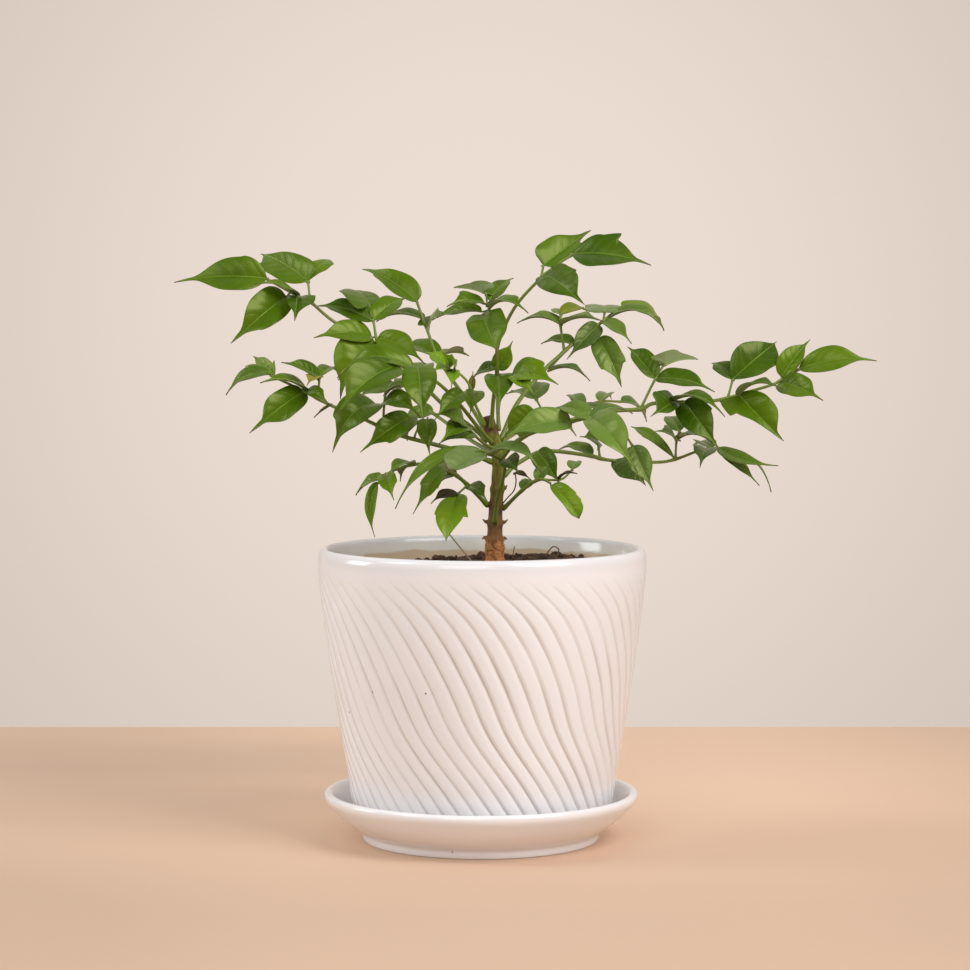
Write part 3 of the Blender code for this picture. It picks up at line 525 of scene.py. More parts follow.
fronds["frond_front_left"] = dict(stems=(
    ((3.8, 159.6, -3), (-1.2, 165.2, -12), (-9.6, 175.6, -26), (-17.6, 183.2, -36), (-26.4, 188.8, -44),
     (-33.4, 189.8, -48), 1.1, 0.6),
), leaflets=(
    (-33.2, 189.6, -48, -57.2, 170.4, -66, 19, 63, 0.12, dict(
        bend=0.04, round=(0.5, 0.8), widest=(0.25, 0.45), full=(1, 1.6), sides=(0.8, 0.95), heart=0, fold=28,
        teeth=())),
    (-27.2, 189.2, -44, -57.2, 184.8, -40, 12, 38, 0.25),
    (-25, 188.8, -45, -23, 167.4, -60, 15.2, 74, 0.14, dict(fold=28, teeth=())),
), small=(
    (-6.9, 179, -30, -18.6, 167.9, -42, 8.8, 62, 0.1),
))
fronds["frond_left"] = dict(stems=(
    ((3.7, 151.6, -1), (-6, 155, -6), (-20.4, 158.8, -12), (-32.4, 162, -15), (-42.4, 166.4, -17),
     (-48.4, 169.2, -18), (-60, 174, -19), (-69.2, 178.8, -19), (-76.4, 182.4, -19), (-84, 186, -19),
     1.2, 0.6),
    ((-64.8, 176.8, -19), (-64.4, 185.6, -18), 0.6, 0.5),
    ((-38.8, 164.9, -16.5), (-38.8, 171.6, -17), (-38.2, 178.2, -18), 0.7, 0.5),
), leaflets=(
    (-84, 186.4, -19, -101.6, 178, -20, 8.4, 35, 0.17, dict(fold=28, bend=0.05, mood=(0, 0.1, 0.2))),
    (-82.4, 186.2, -19, -90.6, 193.4, -8, 6.5, 56, 0.06, dict(
        fold=36, teeth=((1, 0.22, 0.6),), tail=0.3, mood=(0.05, 0.15, 0.4))),
    (-84.4, 186.8, -19, -93.8, 189.4, -6, 2.4, 12, 0.1, dict(tail=0.4, mood=(0.5, 0.2, 0))),
    (-69.6, 180, -19, -88, 182.8, -30, 10, 25, 0.14, dict(teeth=())),
    (-70.8, 179.2, -19, -92.4, 162.8, -34, 13, 74, 0.14, dict(
        tail=0.2, round=0.5, widest=0.42, full=1.9, tipStart=0.8, heart=0, teeth=())),
    (-64.6, 185, -18, -79.6, 191, -26, 9, 41, 0.06, dict(fold=32, teeth=())),
    (-64.2, 185.4, -18, -57.6, 187.6, 0, 8, 15, 0.12),
    (-65, 184.4, -18, -69.4, 181.8, -34, 7.2, 38, 0.1, dict(mood=(0, 0.5, 0))),
    (-69.4, 179.6, -20, -60.4, 174.2, -30, 7, 45, 0.14), (-42, 174.4, -18, -59.2, 155.2, -30, 16, 49, 0.3),
    (-38.8, 174.8, -17, -24.4, 169.2, -24, 11, 45, 0.28), (-38.2, 178.2, -18, -25.6, 180, -20, 8, 15, 0.24),
    (-28.4, 169.2, -16, -48.2, 155.2, -27, 12, 70, 0.14),
    (-21.4, 168.2, -14, -20.4, 153.6, -26, 8.8, 82, 0.12), (-25, 167, -13, -29.4, 159.8, 2, 7.8, 58, 0.1),
), small=(
    (-60, 174, -19.5, -66.6, 169, -25, 1.5, 40, 0.1, dict(mood=(0, 0.9, 0))),
))
fronds["frond_front_centre"] = dict(stems=(
    ((4.2, 166, -3.8), (5, 177, -10), (6.4, 186, -17), (6, 200, -24), (3, 213.4, -30), 1.1, 0.6),
    ((6.4, 186, -17), (12.8, 186.4, -20), 0.65, 0.5),
), leaflets=(
    (1.2, 218.8, -29, -10.8, 220.8, -16, 15.6, -42, 0.06, dict(
        fold=28, heart=(1.9, 0.3), widest=(0.07, 0.2), round=0.3, full=(0.65, 0.8), teeth=())),
    (3.6, 215.6, -29, 12.8, 224.4, -14, 9.5, 14, 0.08), (3.6, 212.8, -30, 18.8, 210.6, -44, 10, 22, 0.2),
    (1.4, 214.4, -30, -13.6, 213.2, -40, 10, 36, 0.12), (0.2, 211.4, -29, -19.4, 207.8, -20, 9, 32, 0.1),
    (0.4, 209.8, -31, 6.6, 194.8, -54, 17, 74, 0.12, dict(
        teeth=(), round=(0.5, 0.7), widest=(0.42, 0.55), full=2.6, tipStart=0.93, heart=0, twist=0)),
    (6.4, 188.6, -18, 12.6, 199.6, -20, 8.4, 84, 0.06, dict(mood=(0.45, 0, 0))),
    (6.8, 185.6, -17, 7.2, 170.8, -36, 12.5, 75, 0.16),
    (12.6, 186.2, -20, 30.8, 182.2, -34, 14.2, 56, 0.12, dict(fold=30, mood=(0.3, 0, 0))),
    (12.8, 186, -20, 22, 177, -38, 9, 59, 0.12, dict(mood=(0.3, 0, 0))),
    (6, 188.4, -18, -3, 184.8, -8, 8.6, 45, 0.12),
))
fronds["frond_top"] = dict(stems=(
    ((7, 165, 2.5), (6.4, 182, 6), (6.4, 196, 5), (10.4, 207.4, 1), (15.4, 215.6, -3), (22.8, 223.6, -6),
     (24.8, 225.6, -7), (31.6, 230.8, -8), (36.8, 234, -8), 1, 0.6),
    ((24, 225, -7), (24.8, 229.8, -6), 0.6, 0.5),
), leaflets=(
    (36.4, 234, -8, 67.6, 229.6, -14, 17.8, 47, 0.1, dict(
        teeth=((0, 0.5, 0.42),), round=0.8, heart=0, tail=0.14, sides=(1, 1.15), twist=0)),
    (24.8, 229.6, -6, 43.6, 243.4, 12, 15.6, 49, 0.05, dict(
        teeth=((1, 0.58, 0.3),), round=0.36, widest=0.25, full=1.1, fold=30, sides=(1.1, 0.8))),
    (25.4, 225.6, -7, 41.2, 214, -30, 17.6, 74, 0.12, dict(
        teeth=((0, 0.56, 0.12),), widest=(0.45, 0.4), round=0.6, full=(2.6, 1.2), sides=(0.9, 0.85),
        tipStart=0.86, heart=0.05, tail=0.2)),
))
fronds["frond_upper_right"] = dict(slot="rear_leaf", mood=(0, 0, 0.3), stems=(
    ((8.2, 161, 2.2), (14, 174, 8), (24, 186.8, 16), (31.6, 194, 22), (37.6, 199.2, 27), (48.8, 207.6, 36),
     (52.8, 210.6, 39), (57, 212.2, 41), 1.2, 0.5),
    ((48.8, 207.6, 36), (49.2, 211.2, 37), 0.55, 0.5),
    ((33.2, 195.4, 23.5), (31.6, 206.4, 24), (32, 210.4, 26), 0.7, 0.5),
    ((34, 196, 24), (27, 188.2, 20), 0.6, 0.5),
), leaflets=(
    (49.2, 211, 37, 48.6, 212.4, 60, 16, -40, 0.08, dict(fold=8, heart=0.6, mood=(0, 0.05, 0.7))),
    (51.4, 209.2, 38, 72.8, 204.2, 34, 9, 20, 0.24, dict(mood=(0.1, 0.1, 0.3))),
    (57, 212.2, 41, 72.8, 203.6, 52, 12, 30, 0.18, dict(
        heart=0.7, teeth=((0, 0.6, 0.25),), mood=(0.35, 0.22, 0.3))),
    (48.8, 207.2, 36, 60, 198.4, 26, 8, 35, 0.14, dict(mood=(0, 0.1, 0.4))),
    (46.8, 205.8, 34, 34.2, 192.2, 24, 9.6, 71, 0.1), (31.8, 206.2, 24, 14.4, 206.6, 34, 10, 12, 0.14),
    (31.8, 206.2, 24, 48.8, 207.2, 12, 10, 14, 0.12),
    (32, 210.2, 26, 30.6, 211.4, 44, 8, -35, 0.08, dict(fold=8, mood=(0, 0, 0.7))),
    (32, 210.2, 26, 42.2, 211.4, 38, 8, 30, 0.14, dict(mood=(0, 0.25, 0))),
    (36.4, 198.2, 26, 24, 198.4, 34, 9, 25, 0.12),
    (46.8, 200.6, 33, 56, 181.2, 26, 13.2, 77, 0.1, dict(
        teeth=((0, 0.6, 0.2), (1, 0.58, 0.12)), tail=0.24, full=1.7, sides=(0.9, 0.95))),
    (27.2, 187.8, 20, 43.4, 183.6, 12, 8, 8, 0.18),
))
fronds["frond_right"] = dict(stems=(
    ((9.7, 155.6, 0.4), (20, 163, -3), (37.6, 168.4, -6), (51.6, 171.6, -8), (63.6, 172.4, -9),
     (69.6, 174.8, -9), (87.6, 175.2, -9), (98.4, 176.8, -9), (103.6, 178.4, -9), (115.6, 182, -9),
     (119.6, 184, -9), (127.2, 188.6, -9), 1.25, 0.6),
    ((98.4, 176.8, -9), (100.4, 184.6, -8), 0.6, 0.5),
    ((63.6, 172.4, -9), (69.2, 184, -6), (72.8, 190, -4), 0.7, 0.5),
), leaflets=(
    (126.8, 188.4, -9, 157.6, 191.6, -14, 13.4, 52, 0.12, dict(round=0.75, widest=0.37, teeth=())),
    (119.8, 185.2, -9, 131, 200, -2, 11.8, 55, 0.08, dict(fold=32, sides=(1, 0.75), teeth=())),
    (119.6, 183, -9, 136.4, 175.8, -26, 13, 70, 0.12, dict(widest=0.45, full=1.9, sides=(0.85, 1), teeth=())),
    (100.4, 184.4, -8, 92, 190.6, 6, 9, 48, 0.12),
    (100.4, 184.4, -8, 117.6, 199.2, 2, 17.6, 66, 0.1, dict(
        widest=(0.38, 0.5), round=(0.7, 0.8), full=(1.2, 1.9), tipStart=0.96, tail=0.1, sides=(1, 0.9),
        heart=0, teeth=((1, 0.62, 0.15),))),
    (102.8, 178, -9, 119.8, 180.4, -28, 9, 22, 0.16),
    (102.8, 178, -9, 120.8, 159.6, -22, 17, 84, 0.1, dict(
        widest=(0.42, 0.12), round=(0.7, 0.3), full=(2, 0.75), heart=(0, 0.5), tipStart=0.87,
        teeth=((1, 0.25, 0.3),))),
    (69.2, 184.8, -6, 58.4, 197.2, 6, 11.8, 62, 0.1, dict(sides=(0.6, 1), full=2, teeth=())),
    (73.2, 190, -4, 86.4, 192.2, 10, 16.4, -45, 0.06, dict(
        fold=36, heart=(0.2, 1.5), sides=(0.6, 1.1), widest=(0.15, 0.06), round=0.3, full=0.7, teeth=())),
    (70.4, 184.6, -6, 93.2, 179.2, -14, 11.6, 41, 0.12),
    (77.8, 175.2, -9, 67.7, 169.5, -24, 14.8, 68, 0.12, dict(
        widest=0.55, teeth=((1, 0.7, 0.2),), full=1.6, sides=(0.5, 1))),
    (75.2, 175, -9, 97.2, 169.4, -30, 9.5, 16, 0.18),
    (80.8, 175.2, -9, 95.2, 156, -20, 14, 82, 0.12, dict(teeth=((0, 0.42, 0.12),))),
))
fronds["frond_right_rear"] = dict(slot="rear_leaf", mood=(0, 0, 0.2), stems=(
    ((9.7, 146.4, 2.1), (15, 151, 7), (25.6, 155.6, 14), (42.4, 154, 24), (51.6, 152, 29), (69.6, 151.2, 35),
     (77.6, 152.4, 37), (87.6, 156, 39), (95.2, 157, 40), 1.2, 0.6),
    ((77.6, 152.4, 37), (78, 159.6, 38), (79.2, 163.8, 39), 0.6, 0.5),
    ((47.4, 153, 27), (46.8, 159.2, 28), 0.6, 0.5),
), leaflets=(
    (77.8, 160, 38, 69.6, 163.6, 24, 8.4, 51, 0.1), (79.2, 163.6, 39, 74.4, 169.4, 54, 9.4, 38, 0.1),
    (78.4, 160.4, 38, 92.4, 158.8, 24, 9, 16, 0.16),
    (77.2, 152.8, 37, 60, 165.4, 50, 6.4, 39, 0.1, dict(widest=0.6, round=0.9, tipStart=0.98)),
    (91.6, 156.6, 40, 84.6, 158, 58, 9, 15, 0.1), (90, 156.4, 39, 87.4, 149, 20, 10.6, 54, 0.12),
    (94.8, 156.8, 40, 118.6, 149.8, 30, 8, 38, 0.05, dict(bend=0.16, teeth=())),
    (94.8, 156.6, 40, 111.2, 141.8, 32, 6.4, 42, 0.06, dict(teeth=())),
    (46.8, 159.2, 28, 39.4, 161.4, 20, 8.6, 55, 0.1, dict(teeth=((0, 0.35, 0.9),), tail=0.1)),
    (44, 153.8, 25, 30.8, 156, 40, 9, 20, 0.14),
    (57.2, 153, 31, 65.8, 141.8, 20, 15.5, 84, 0.12, dict(round=0.4, tipStart=0.9, heart=0.3)),
    (22.8, 155.6, 12, 32, 141.8, 0, 10.5, 84, 0.1, dict(mood=(0.1, 0.15, 0))),
    (94.6, 156.2, 40, 115.8, 140.8, 48, 3.2, 30, 0.18, dict(hook=0.1, mood=(0.2, 0.1, 1))),
))
fronds["frond_front_right"] = dict(mood=(0.05, 0, 0.4), stems=(
    ((8.8, 153.6, -2.8), (15.6, 160.6, -14), (27.6, 165.4, -28), (36.8, 167.6, -38), (44, 168.8, -45),
     (51, 167, -46), (57, 162.6, -44.6), (60.6, 157.6, -43), 1.15, 0.5),
), leaflets=(
    (35.8, 167.4, -37, 8.6, 160.6, -44, 13.4, 54, 0.12), (43.2, 168.9, -44, 29, 172.6, -29, 10.2, 43, 0.1),
    (44, 168.8, -46, 62.6, 147, -66, 14.4, 68, 0.24, dict(sides=(1.1, 0.85), widest=0.4, heart=0.2)),
    (60.6, 157.6, -43, 68.8, 139.8, -50, 10.4, 73, 0.1, dict(round=0.6)),
    (44.2, 169, -45, 60.4, 170.6, -35, 8, 22, 0.16),
    (22, 170.4, -32, 9.6, 161.6, -28, 13.2, 66, 0.1, dict(mood=(0, 0, 0))),
))
fronds["frond_front_low"] = dict(mood=(0, 0, 0.1), stems=(
    ((5.6, 128, -4.3), (6.6, 136.4, -9), (8.8, 144.4, -17), (9.2, 151, -26), (3.6, 154.4, -33), (0, 156, -36),
     1.1, 0.6),
), leaflets=(
    (2, 153.8, -34, -12.4, 147.6, -54, 13.8, 57, 0.08, dict(
        widest=(0.5, 0.7), round=0.8, full=2.4, sides=(0.7, 1), tipStart=1.04, tail=0.45, heart=0, teeth=(),
        mood=(0, 0.05, 0.8))),
    (0, 156, -36, -34.2, 132.6, -40, 7.6, 38, 0.22, dict(teeth=())),
    (3.6, 154.4, -33, 24, 147, -42, 9.5, 26, 0.28, dict(teeth=(), mood=(0.1, 0, 0.7))),
    (10.4, 152.4, -27, 15.4, 146.4, -40, 9.4, 72, 0.1, dict(teeth=(), round=0.35)),
))
fronds["leafy_stem_low_right"] = dict(mood=(0.15, 0, 0.2), stems=(
    ((9.5, 133.2, -0.8), (17.6, 141, -6), (23.6, 144.4, -9), (27.6, 143, -11), 1, 0.55),
    ((23.6, 144.4, -9), (32, 144.4, -9), (36.6, 148.4, -7), 0.6, 0.45),
), withered=(
    ((8.6, 134.6, -1), (10.8, 137.2, -4), (13.2, 140, -6), (14, 143.6, -7), (13.6, 146.8, -8), 0.26),
), leaflets=(
    (28.2, 141.8, -11, 39.2, 128.6, -18, 9.4, 61, 0.12, dict(
        sides=(1, 0.6), widest=0.48, round=0.5, full=3, tipStart=1.02, tail=0.3,
        teeth=((0, 0.52, 0.1), (0, 0.68, 0.1)), mood=(0.45, 0.1, 0))),
    (31, 144.4, -9, 38.4, 146.6, -20, 3.5, 36, 0.12, dict(mood=(0, 1, 0))),
    (36.6, 148.4, -7, 38.2, 151.2, 6, 6.5, 10, 0.08), (16.6, 140.2, -5, 21.4, 143.4, 8, 6.5, 30, 0.1),
    (22, 144.2, -8, 26.6, 149.6, 0, 5.8, 67, 0.1),
), small=(
    (13.6, 146.8, -8, 20.4, 143.8, -14, 2.6, 60, 0.2, dict(mood=(0, 0.95, 0))),
))
fronds["leafy_stem_low_left"] = dict(mood=(0.15, 0.05, 0.1), stems=(
    ((2, 134.6, -0.8), (-4.4, 141.2, -6), (-9.6, 145.8, -11), (-14.4, 148.4, -14), (-20.4, 150.4, -16),
     (-27.2, 150.2, -17), (-36.4, 147.2, -17), (-41.6, 142.4, -17), 1.1, 0.5),
    ((-5.2, 142.2, -7), (-9.4, 138.4, -14), 0.6, 0.5),
), leaflets=(
    (-4.4, 141.8, -6, 2.6, 135.4, -20, 7.4, 57, 0.1), (-9.8, 146, -11, -17.2, 140.8, 2, 7.4, 46, 0.12),
    (-9.4, 138.8, -14, -20, 134.6, -22, 5.4, 44, 0.14, dict(fold=10, bend=0.05, mood=(0, 1, 0))),
    (-9.4, 138.4, -14, -14, 119.6, -34, 13.8, 77, 0.1, dict(
        round=(0.45, 1.1), widest=(0.42, 0.55), full=(1.4, 1.7), tail=0.2, heart=0, sides=(0.85, 0.9),
        tipStart=1, teeth=((0, 0.54, 0.35), (1, 0.62, 0.12)), mood=(0.5, 0.1, 0))),
    (-15.6, 148.8, -15, -27.2, 130.4, -30, 7.8, 56, 0.14),
    (-12.6, 147.8, -13, -21.6, 144.8, 4, 7.4, 41, 0.12),
    (-27.2, 150.4, -17, -37.4, 145.4, -34, 7.5, 22, 0.12),
    (-26.8, 150.2, -17, -32.2, 143.6, -2, 7.2, 37, 0.12),
    (-39.6, 145.2, -17, -50, 138, -10, 7.6, 34, 0.1, dict(mood=(0.3, 0.12, 0.1))),
    (-38, 146.4, -17, -34.8, 136, -30, 8.2, 70, 0.1, dict(mood=(0.4, 0.05, 0))),
    (-41.8, 143, -17, -42.4, 121.2, -22, 5.2, 60, 0.06, dict(bend=0.1, fold=30, mood=(0.4, 0.05, 0.1))),
))
fronds["young_shoot"] = dict(slot="young_leaf", mood=(1, 0, 0), stems=(
    ((1.2, 166.8, -2.6), (-3, 176, -5), (-4.6, 182, -6), (-8.4, 186.4, -7), (-13.2, 188.6, -8), 0.8, 0.5),
), leaflets=(
    (-13.2, 188.6, -8, -22.4, 195, 2, 7, 40, 0.1), (-13, 188.6, -8, -15.6, 195.4, -16, 6.6, 58, 0.1),
    (-12.4, 188.2, -8, -19.6, 187.4, -16, 6, 40, 0.1), (-10.8, 187.6, -8, -11.8, 180.6, -18, 6, 59, 0.12),
    (-4, 179.6, -6, -3.2, 187.4, -2, 3.2, 69, 0.06, dict(mood=(0.2, 0.87, 0))),
    (-10.6, 188.2, -8, -12.6, 193, -18, 4.6, 65, 0.08),
), small=(
    (-2, 179.4, -7, -4.4, 170.6, -20, 8.6, 66, 0.1, dict(mood=(0.25, 0, 0))),
))
fronds["frond_inner"] = dict(slot="rear_leaf", stems=(
    ((6, 156.4, -3.4), (1.5, 158.5, -12), (-3, 162.5, -21), (-7.6, 168, -29), 0.9, 0.5),
), leaflets=(
    (-5.8, 165.4, -26, -16.4, 158.8, -44, 9.6, 62, 0.12), (-3, 162.5, -21, -16.8, 158.6, -34, 9.8, 49, 0.1),
    (-7, 167.2, -28, -18.4, 170.4, -40, 10.8, 57, 0.12),
))
fronds["frond_rear"] = dict(slot="rear_leaf", mood=(0, 0, 0.3), stems=(
    ((6, 158, 3.6), (14, 163, 20), (26, 169, 42), (38, 172.4, 58), (47.6, 175.4, 70), (56, 175.4, 78),
     1.15, 0.6),
    ((26, 169, 42), (22, 176.4, 52), 0.65, 0.5),
), leaflets=(
    (39.6, 173, 60, 35, 177.4, 78, 8, 8, 0.12), (47.6, 175.4, 70, 52, 176.4, 92, 8, 4, 0.12),
    (56, 175.4, 78, 66, 167.4, 92, 9, 35, 0.14), (38, 172.4, 58, 50.4, 170.4, 50, 9, 12, 0.14),
    (26.6, 169.2, 43, 38, 161.6, 38, 8, 25, 0.14), (22, 176.4, 52, 10, 178.4, 64, 10, 20, 0.12),
    (22, 176.4, 52, 25, 183, 70, 10, 5, 0.1), (25, 168.6, 41, 11, 166, 54, 10, 20, 0.12),
))
fronds["frond_rear_left"] = dict(slot="rear_leaf", mood=(0, 0, 0.3), stems=(
    ((4.6, 155.2, 3), (-4, 160, 14), (-18, 170, 34), (-32, 180, 52), (-42, 186, 64), 1.15, 0.6),
    ((-25, 175, 43), (-26, 184, 50), 0.65, 0.5),
), leaflets=(
    (-42, 186, 64, -57, 184, 82, 12, 25, 0.12), (-42, 186, 64, -44, 192, 88, 12, 8, 0.12),
    (-34, 181.2, 54, -50, 176, 52, 11, 35, 0.14), (-33, 180.6, 53, -22, 180, 74, 11, 20, 0.12),
    (-26, 183.8, 50, -34, 190, 40, 11, 30, 0.12), (-26, 183.8, 50, -20, 190, 70, 11, 20, 0.12),
    (-19, 170.8, 36, -32, 166, 40, 11, 33, 0.14),
))


bladeSettings = {
    "rows": 46,
    "widest": 0.34,  # share of the length
    "round": 0.55,  # lower makes a rounder base
    "full": 1.45,  # higher keeps the blade wide nearer the tip
    "tipStart": 0.84,  # where the drip tip begins
    "tail": 0.17,  # half width of the drip tip, as a share of the blade's
    "heart": 0.08,  # how far the sides reach back past the base
    "sides": 1.0,  # breadth of the halves
    "fold": 25.0,  # degrees that each half is lifted
    "bulge": 0.16,
    "hook": 0.0,  # how far the tip is bent to the side
    "thickness": 0.42,
    "veins": 6.5,
    "veinSweep": 0.17,
    "puff": 0.19,
    "rough": 0.20,
    "waves": (1.4, 2.6),  # how often the margin goes up and down
    "waveHeight": 0.028,  # share of the width
    # what chance gives a leaflet that has no bend, twist (degrees) or teeth of its own
    "anyBend": 0.025,
    "anyTwist": 16,
    "toothChance": 0.4,
    "toothPlace": (0.5, 0.74),
    "toothSize": (0.06, 0.2),
    "toothRise": 0.14,
    "toothFall": 0.035,
}
stalkSettings = {
    "between": 8, "sides": 12, "rough": 0.38,
    "slim": 0.8,  # times the radii in the table
    "swell": 0.3, "swellLong": 1.7,  # where leaflets and stems leave
    "sinkFirst": 1.3, "sinkOthers": 0.3,  # how far a stem starts inside what it grows from
}
acrossShares = np.array((0.05, 0.18, 0.34, 0.52, 0.7, 0.86, 0.965, 1.0))
acrossShares = np.concatenate([-acrossShares[::-1], [0.0], acrossShares])


def placed(points):
    # the point at each depth that the eye sees at across and up
    points = np.asarray(points, float)
    across, back, up = viewSettings["eye"]
    seen = np.array((across, up))
    reach = 1.0 - points[..., 2:] / back
    flat = seen + (points[..., :2] - seen) * reach
    return np.stack([flat[..., 0], points[..., 2], flat[..., 1]], -1)


def halfWidth(u, s, hand):
    # rises as a sine to the widest place, falls as a cosine, and ends in a thin tail
    keys = ("widest", "round", "full", "tipStart", "tail", "sides")
    widest, circle, full, end, tail, side = (np.broadcast_to(s[key], 2)[hand] for key in keys)
    rise = np.sin(0.5 * np.pi * np.clip(u / widest, 0, 1) ** circle)
    fall = 0.5 + 0.5 * np.cos(np.pi * np.clip((u - widest) / (end - widest), 0, 1) ** full)
    body = np.where(u < widest, rise, fall)
    return side * (body + tail * (1 - u**6) * smooth(u, 0.3, 0.7) * (1 - body))


def tooth(u, place, size):
    # a saw: up slowly to the place, then down at once
    rise, fall = bladeSettings["toothRise"], bladeSettings["toothFall"]
    return size * np.clip((u - place + rise) / rise, 0, 1) * np.clip((place + fall - u) / fall, 0, 1)


def addLeaflet(blades, stems, lines, row, usual, chance):
    # midrib: base + (tip - base) u + (upright arch + sideways bend) 4 u (1 - u) length; across it each half
    # rises by its fold, droops with the square of the way out, and puffs up between the side veins
    s = bladeSettings | (row[9] if len(row) > 9 else {})
    mood = s.get("mood", usual)
    base, tip = placed(row[0:3]), placed(row[3:6])
    width, face, arch = row[6:9]
    length = np.linalg.norm(tip - base)
    ahead = (tip - base) / length
    target = np.array((0.0, -np.sin(np.radians(face)), np.cos(np.radians(face))))
    normal = unit(target - ahead * target.dot(ahead))
    across = np.cross(ahead, normal)
    u = np.linspace(0, 1, s["rows"])
    sideways, twist = (chance.uniform(-s[key], s[key]) for key in ("anyBend", "anyTwist"))
    bend = normal * arch + across * s.get("bend", sideways)
    middle = base + (tip - base) * u[:, None] + bend * (4 * u * (1 - u) * length)[:, None]
    middle = middle + across * (s["hook"] * length * np.clip((u - 0.6) / 0.4, 0, 1) ** 2)[:, None]
    heading = unit(np.gradient(middle, axis=0))
    side = unit(across - heading * (heading @ across)[:, None])
    upright = np.cross(side, heading)
    turn = (np.radians(s.get("twist", twist)) * (u - 0.3))[:, None]
    side, upright = side * np.cos(turn) + upright * np.sin(turn), upright * np.cos(turn) - side * np.sin(turn)

    usualTeeth = []
    for hand in (0, 1):
        if chance.random() < s["toothChance"]:
            usualTeeth.append((hand, chance.uniform(*s["toothPlace"]), chance.uniform(*s["toothSize"])))
    teeth = np.zeros((2, s["rows"]))
    for hand, place, height in s.get("teeth", usualTeeth):
        teeth[hand] += tooth(u, place, height)
    v = acrossShares[None, :]
    share = np.where(v < 0, halfWidth(u, s, 0)[:, None], halfWidth(u, s, 1)[:, None])
    half = np.maximum(0.5 * width * share, 0.3 * (1 - u[:, None]) + 0.16)
    toothed = np.where(v < 0, teeth[0][:, None], teeth[1][:, None])
    out = np.abs(v) * half * (1 + toothed)
    rib = (u[:, None] - s["veinSweep"] * np.abs(v) ** 1.25) * s["veins"] + 0.13 * np.sign(v)
    panel = (0.5 + 0.5 * np.cos(2 * np.pi * rib)) ** 0.7
    puff = s["puff"] * (width / 13.0) * 4 * np.abs(v) * (1 - np.abs(v)) * panel
    waves = u[:, None] * chance.uniform(*s["waves"]) + chance.random() + 0.3 * np.sign(v)
    lift = out * np.sin(np.radians(s["fold"])) - s["bulge"] * out**2 / (0.5 * width)
    lift += (puff + s["waveHeight"] * width * np.sin(2 * np.pi * waves) * v**2) * share
    skin = 0.5 * s["thickness"] * (1 - 0.5 * np.abs(v) ** 6)
    flat = middle[:, None] + side[:, None] * (np.sign(v) * out * np.cos(np.radians(s["fold"])))[..., None]
    heart = np.where(v < 0, *np.broadcast_to(s["heart"], 2))
    back = heart * np.abs(v) ** 1.5 * (1 - smooth(u, 0.0, 0.4))[:, None]
    flat = flat + heading[:, None] * ((0.7 * toothed * v**2 - back) * half)[..., None]
    top = flat + upright[:, None] * (lift + skin)[..., None]
    low = flat + upright[:, None] * (lift - skin)[..., None]
    rings = np.concatenate([top, low[:, ::-1]], 1)

    rows, columns = rings.shape[:2]
    i = np.arange(columns // 2 - 1)
    cap = np.stack([i, i + 1, columns - 2 - i, columns - 1 - i], -1)
    faces = [ringFaces(rows, columns), cap[:, ::-1], cap + (rows - 1) * columns]
    lower = np.arange(columns) >= columns // 2
    sheet = vectors(u[:, None], np.append(acrossShares, acrossShares[::-1]), lower)
    size = vectors(np.concatenate([half, half[:, ::-1]], 1), length, chance.random())
    blades.add(rings, faces, blade=sheet, leaf=size, tone=mood)

    under = middle - upright * (0.5 * s["thickness"] + 0.03)
    thick = (0.16 + 0.014 * width) * (1 - u) ** 0.8 + 0.05
    tube(stems, under[:-4:2], thick[:-4:2], 8, stem=(0.8 * mood[1], 0.8, mood[0]))
    crowd = np.vstack(lines)
    root = crowd[np.argmin(np.linalg.norm(crowd - base, axis=1))]
    far = np.linalg.norm(base - root)
    start = heading[0]
    if far < 0.6:
        path = np.stack([base - start * 0.8, base, base + start * 1.0, under[2]])
    else:
        before = base - start * min(0.3 * far, 1.5)
        path = np.stack([root, root + (base - root) * 0.35, before, under[1], under[3]])
    path = smoothLine(path, 6)
    t = np.linspace(0, 1, len(path))
    thick = 0.38 + 0.2 * bell(t, 0.2) - 0.06 * t
    tube(stems, path, thick, 8, stem=(0.6 * mood[1], 0.35, mood[0]))


leafColours = {
    "deep": (0.030, 0.076, 0.0003), "mid": (0.090, 0.168, 0.0008), "back": (0.24, 0.32, 0.14),
    "vein": (0.18, 0.30, 0.03), "rib": (0.24, 0.38, 0.11), "young": (0.25, 0.44, 0.014),
    "dry": (0.30, 0.24, 0.012), "burnt": (0.035, 0.02, 0.010), "tip": (0.085, 0.045, 0.038),
    "pale": (0.22, 0.30, 0.12),
}
stalkColours = {
    "olive": (0.165, 0.225, 0.025), "brown": (0.13, 0.11, 0.03), "rib": (0.24, 0.34, 0.09),
    "young": (0.24, 0.37, 0.03), "dry": (0.07, 0.04, 0.022),
}


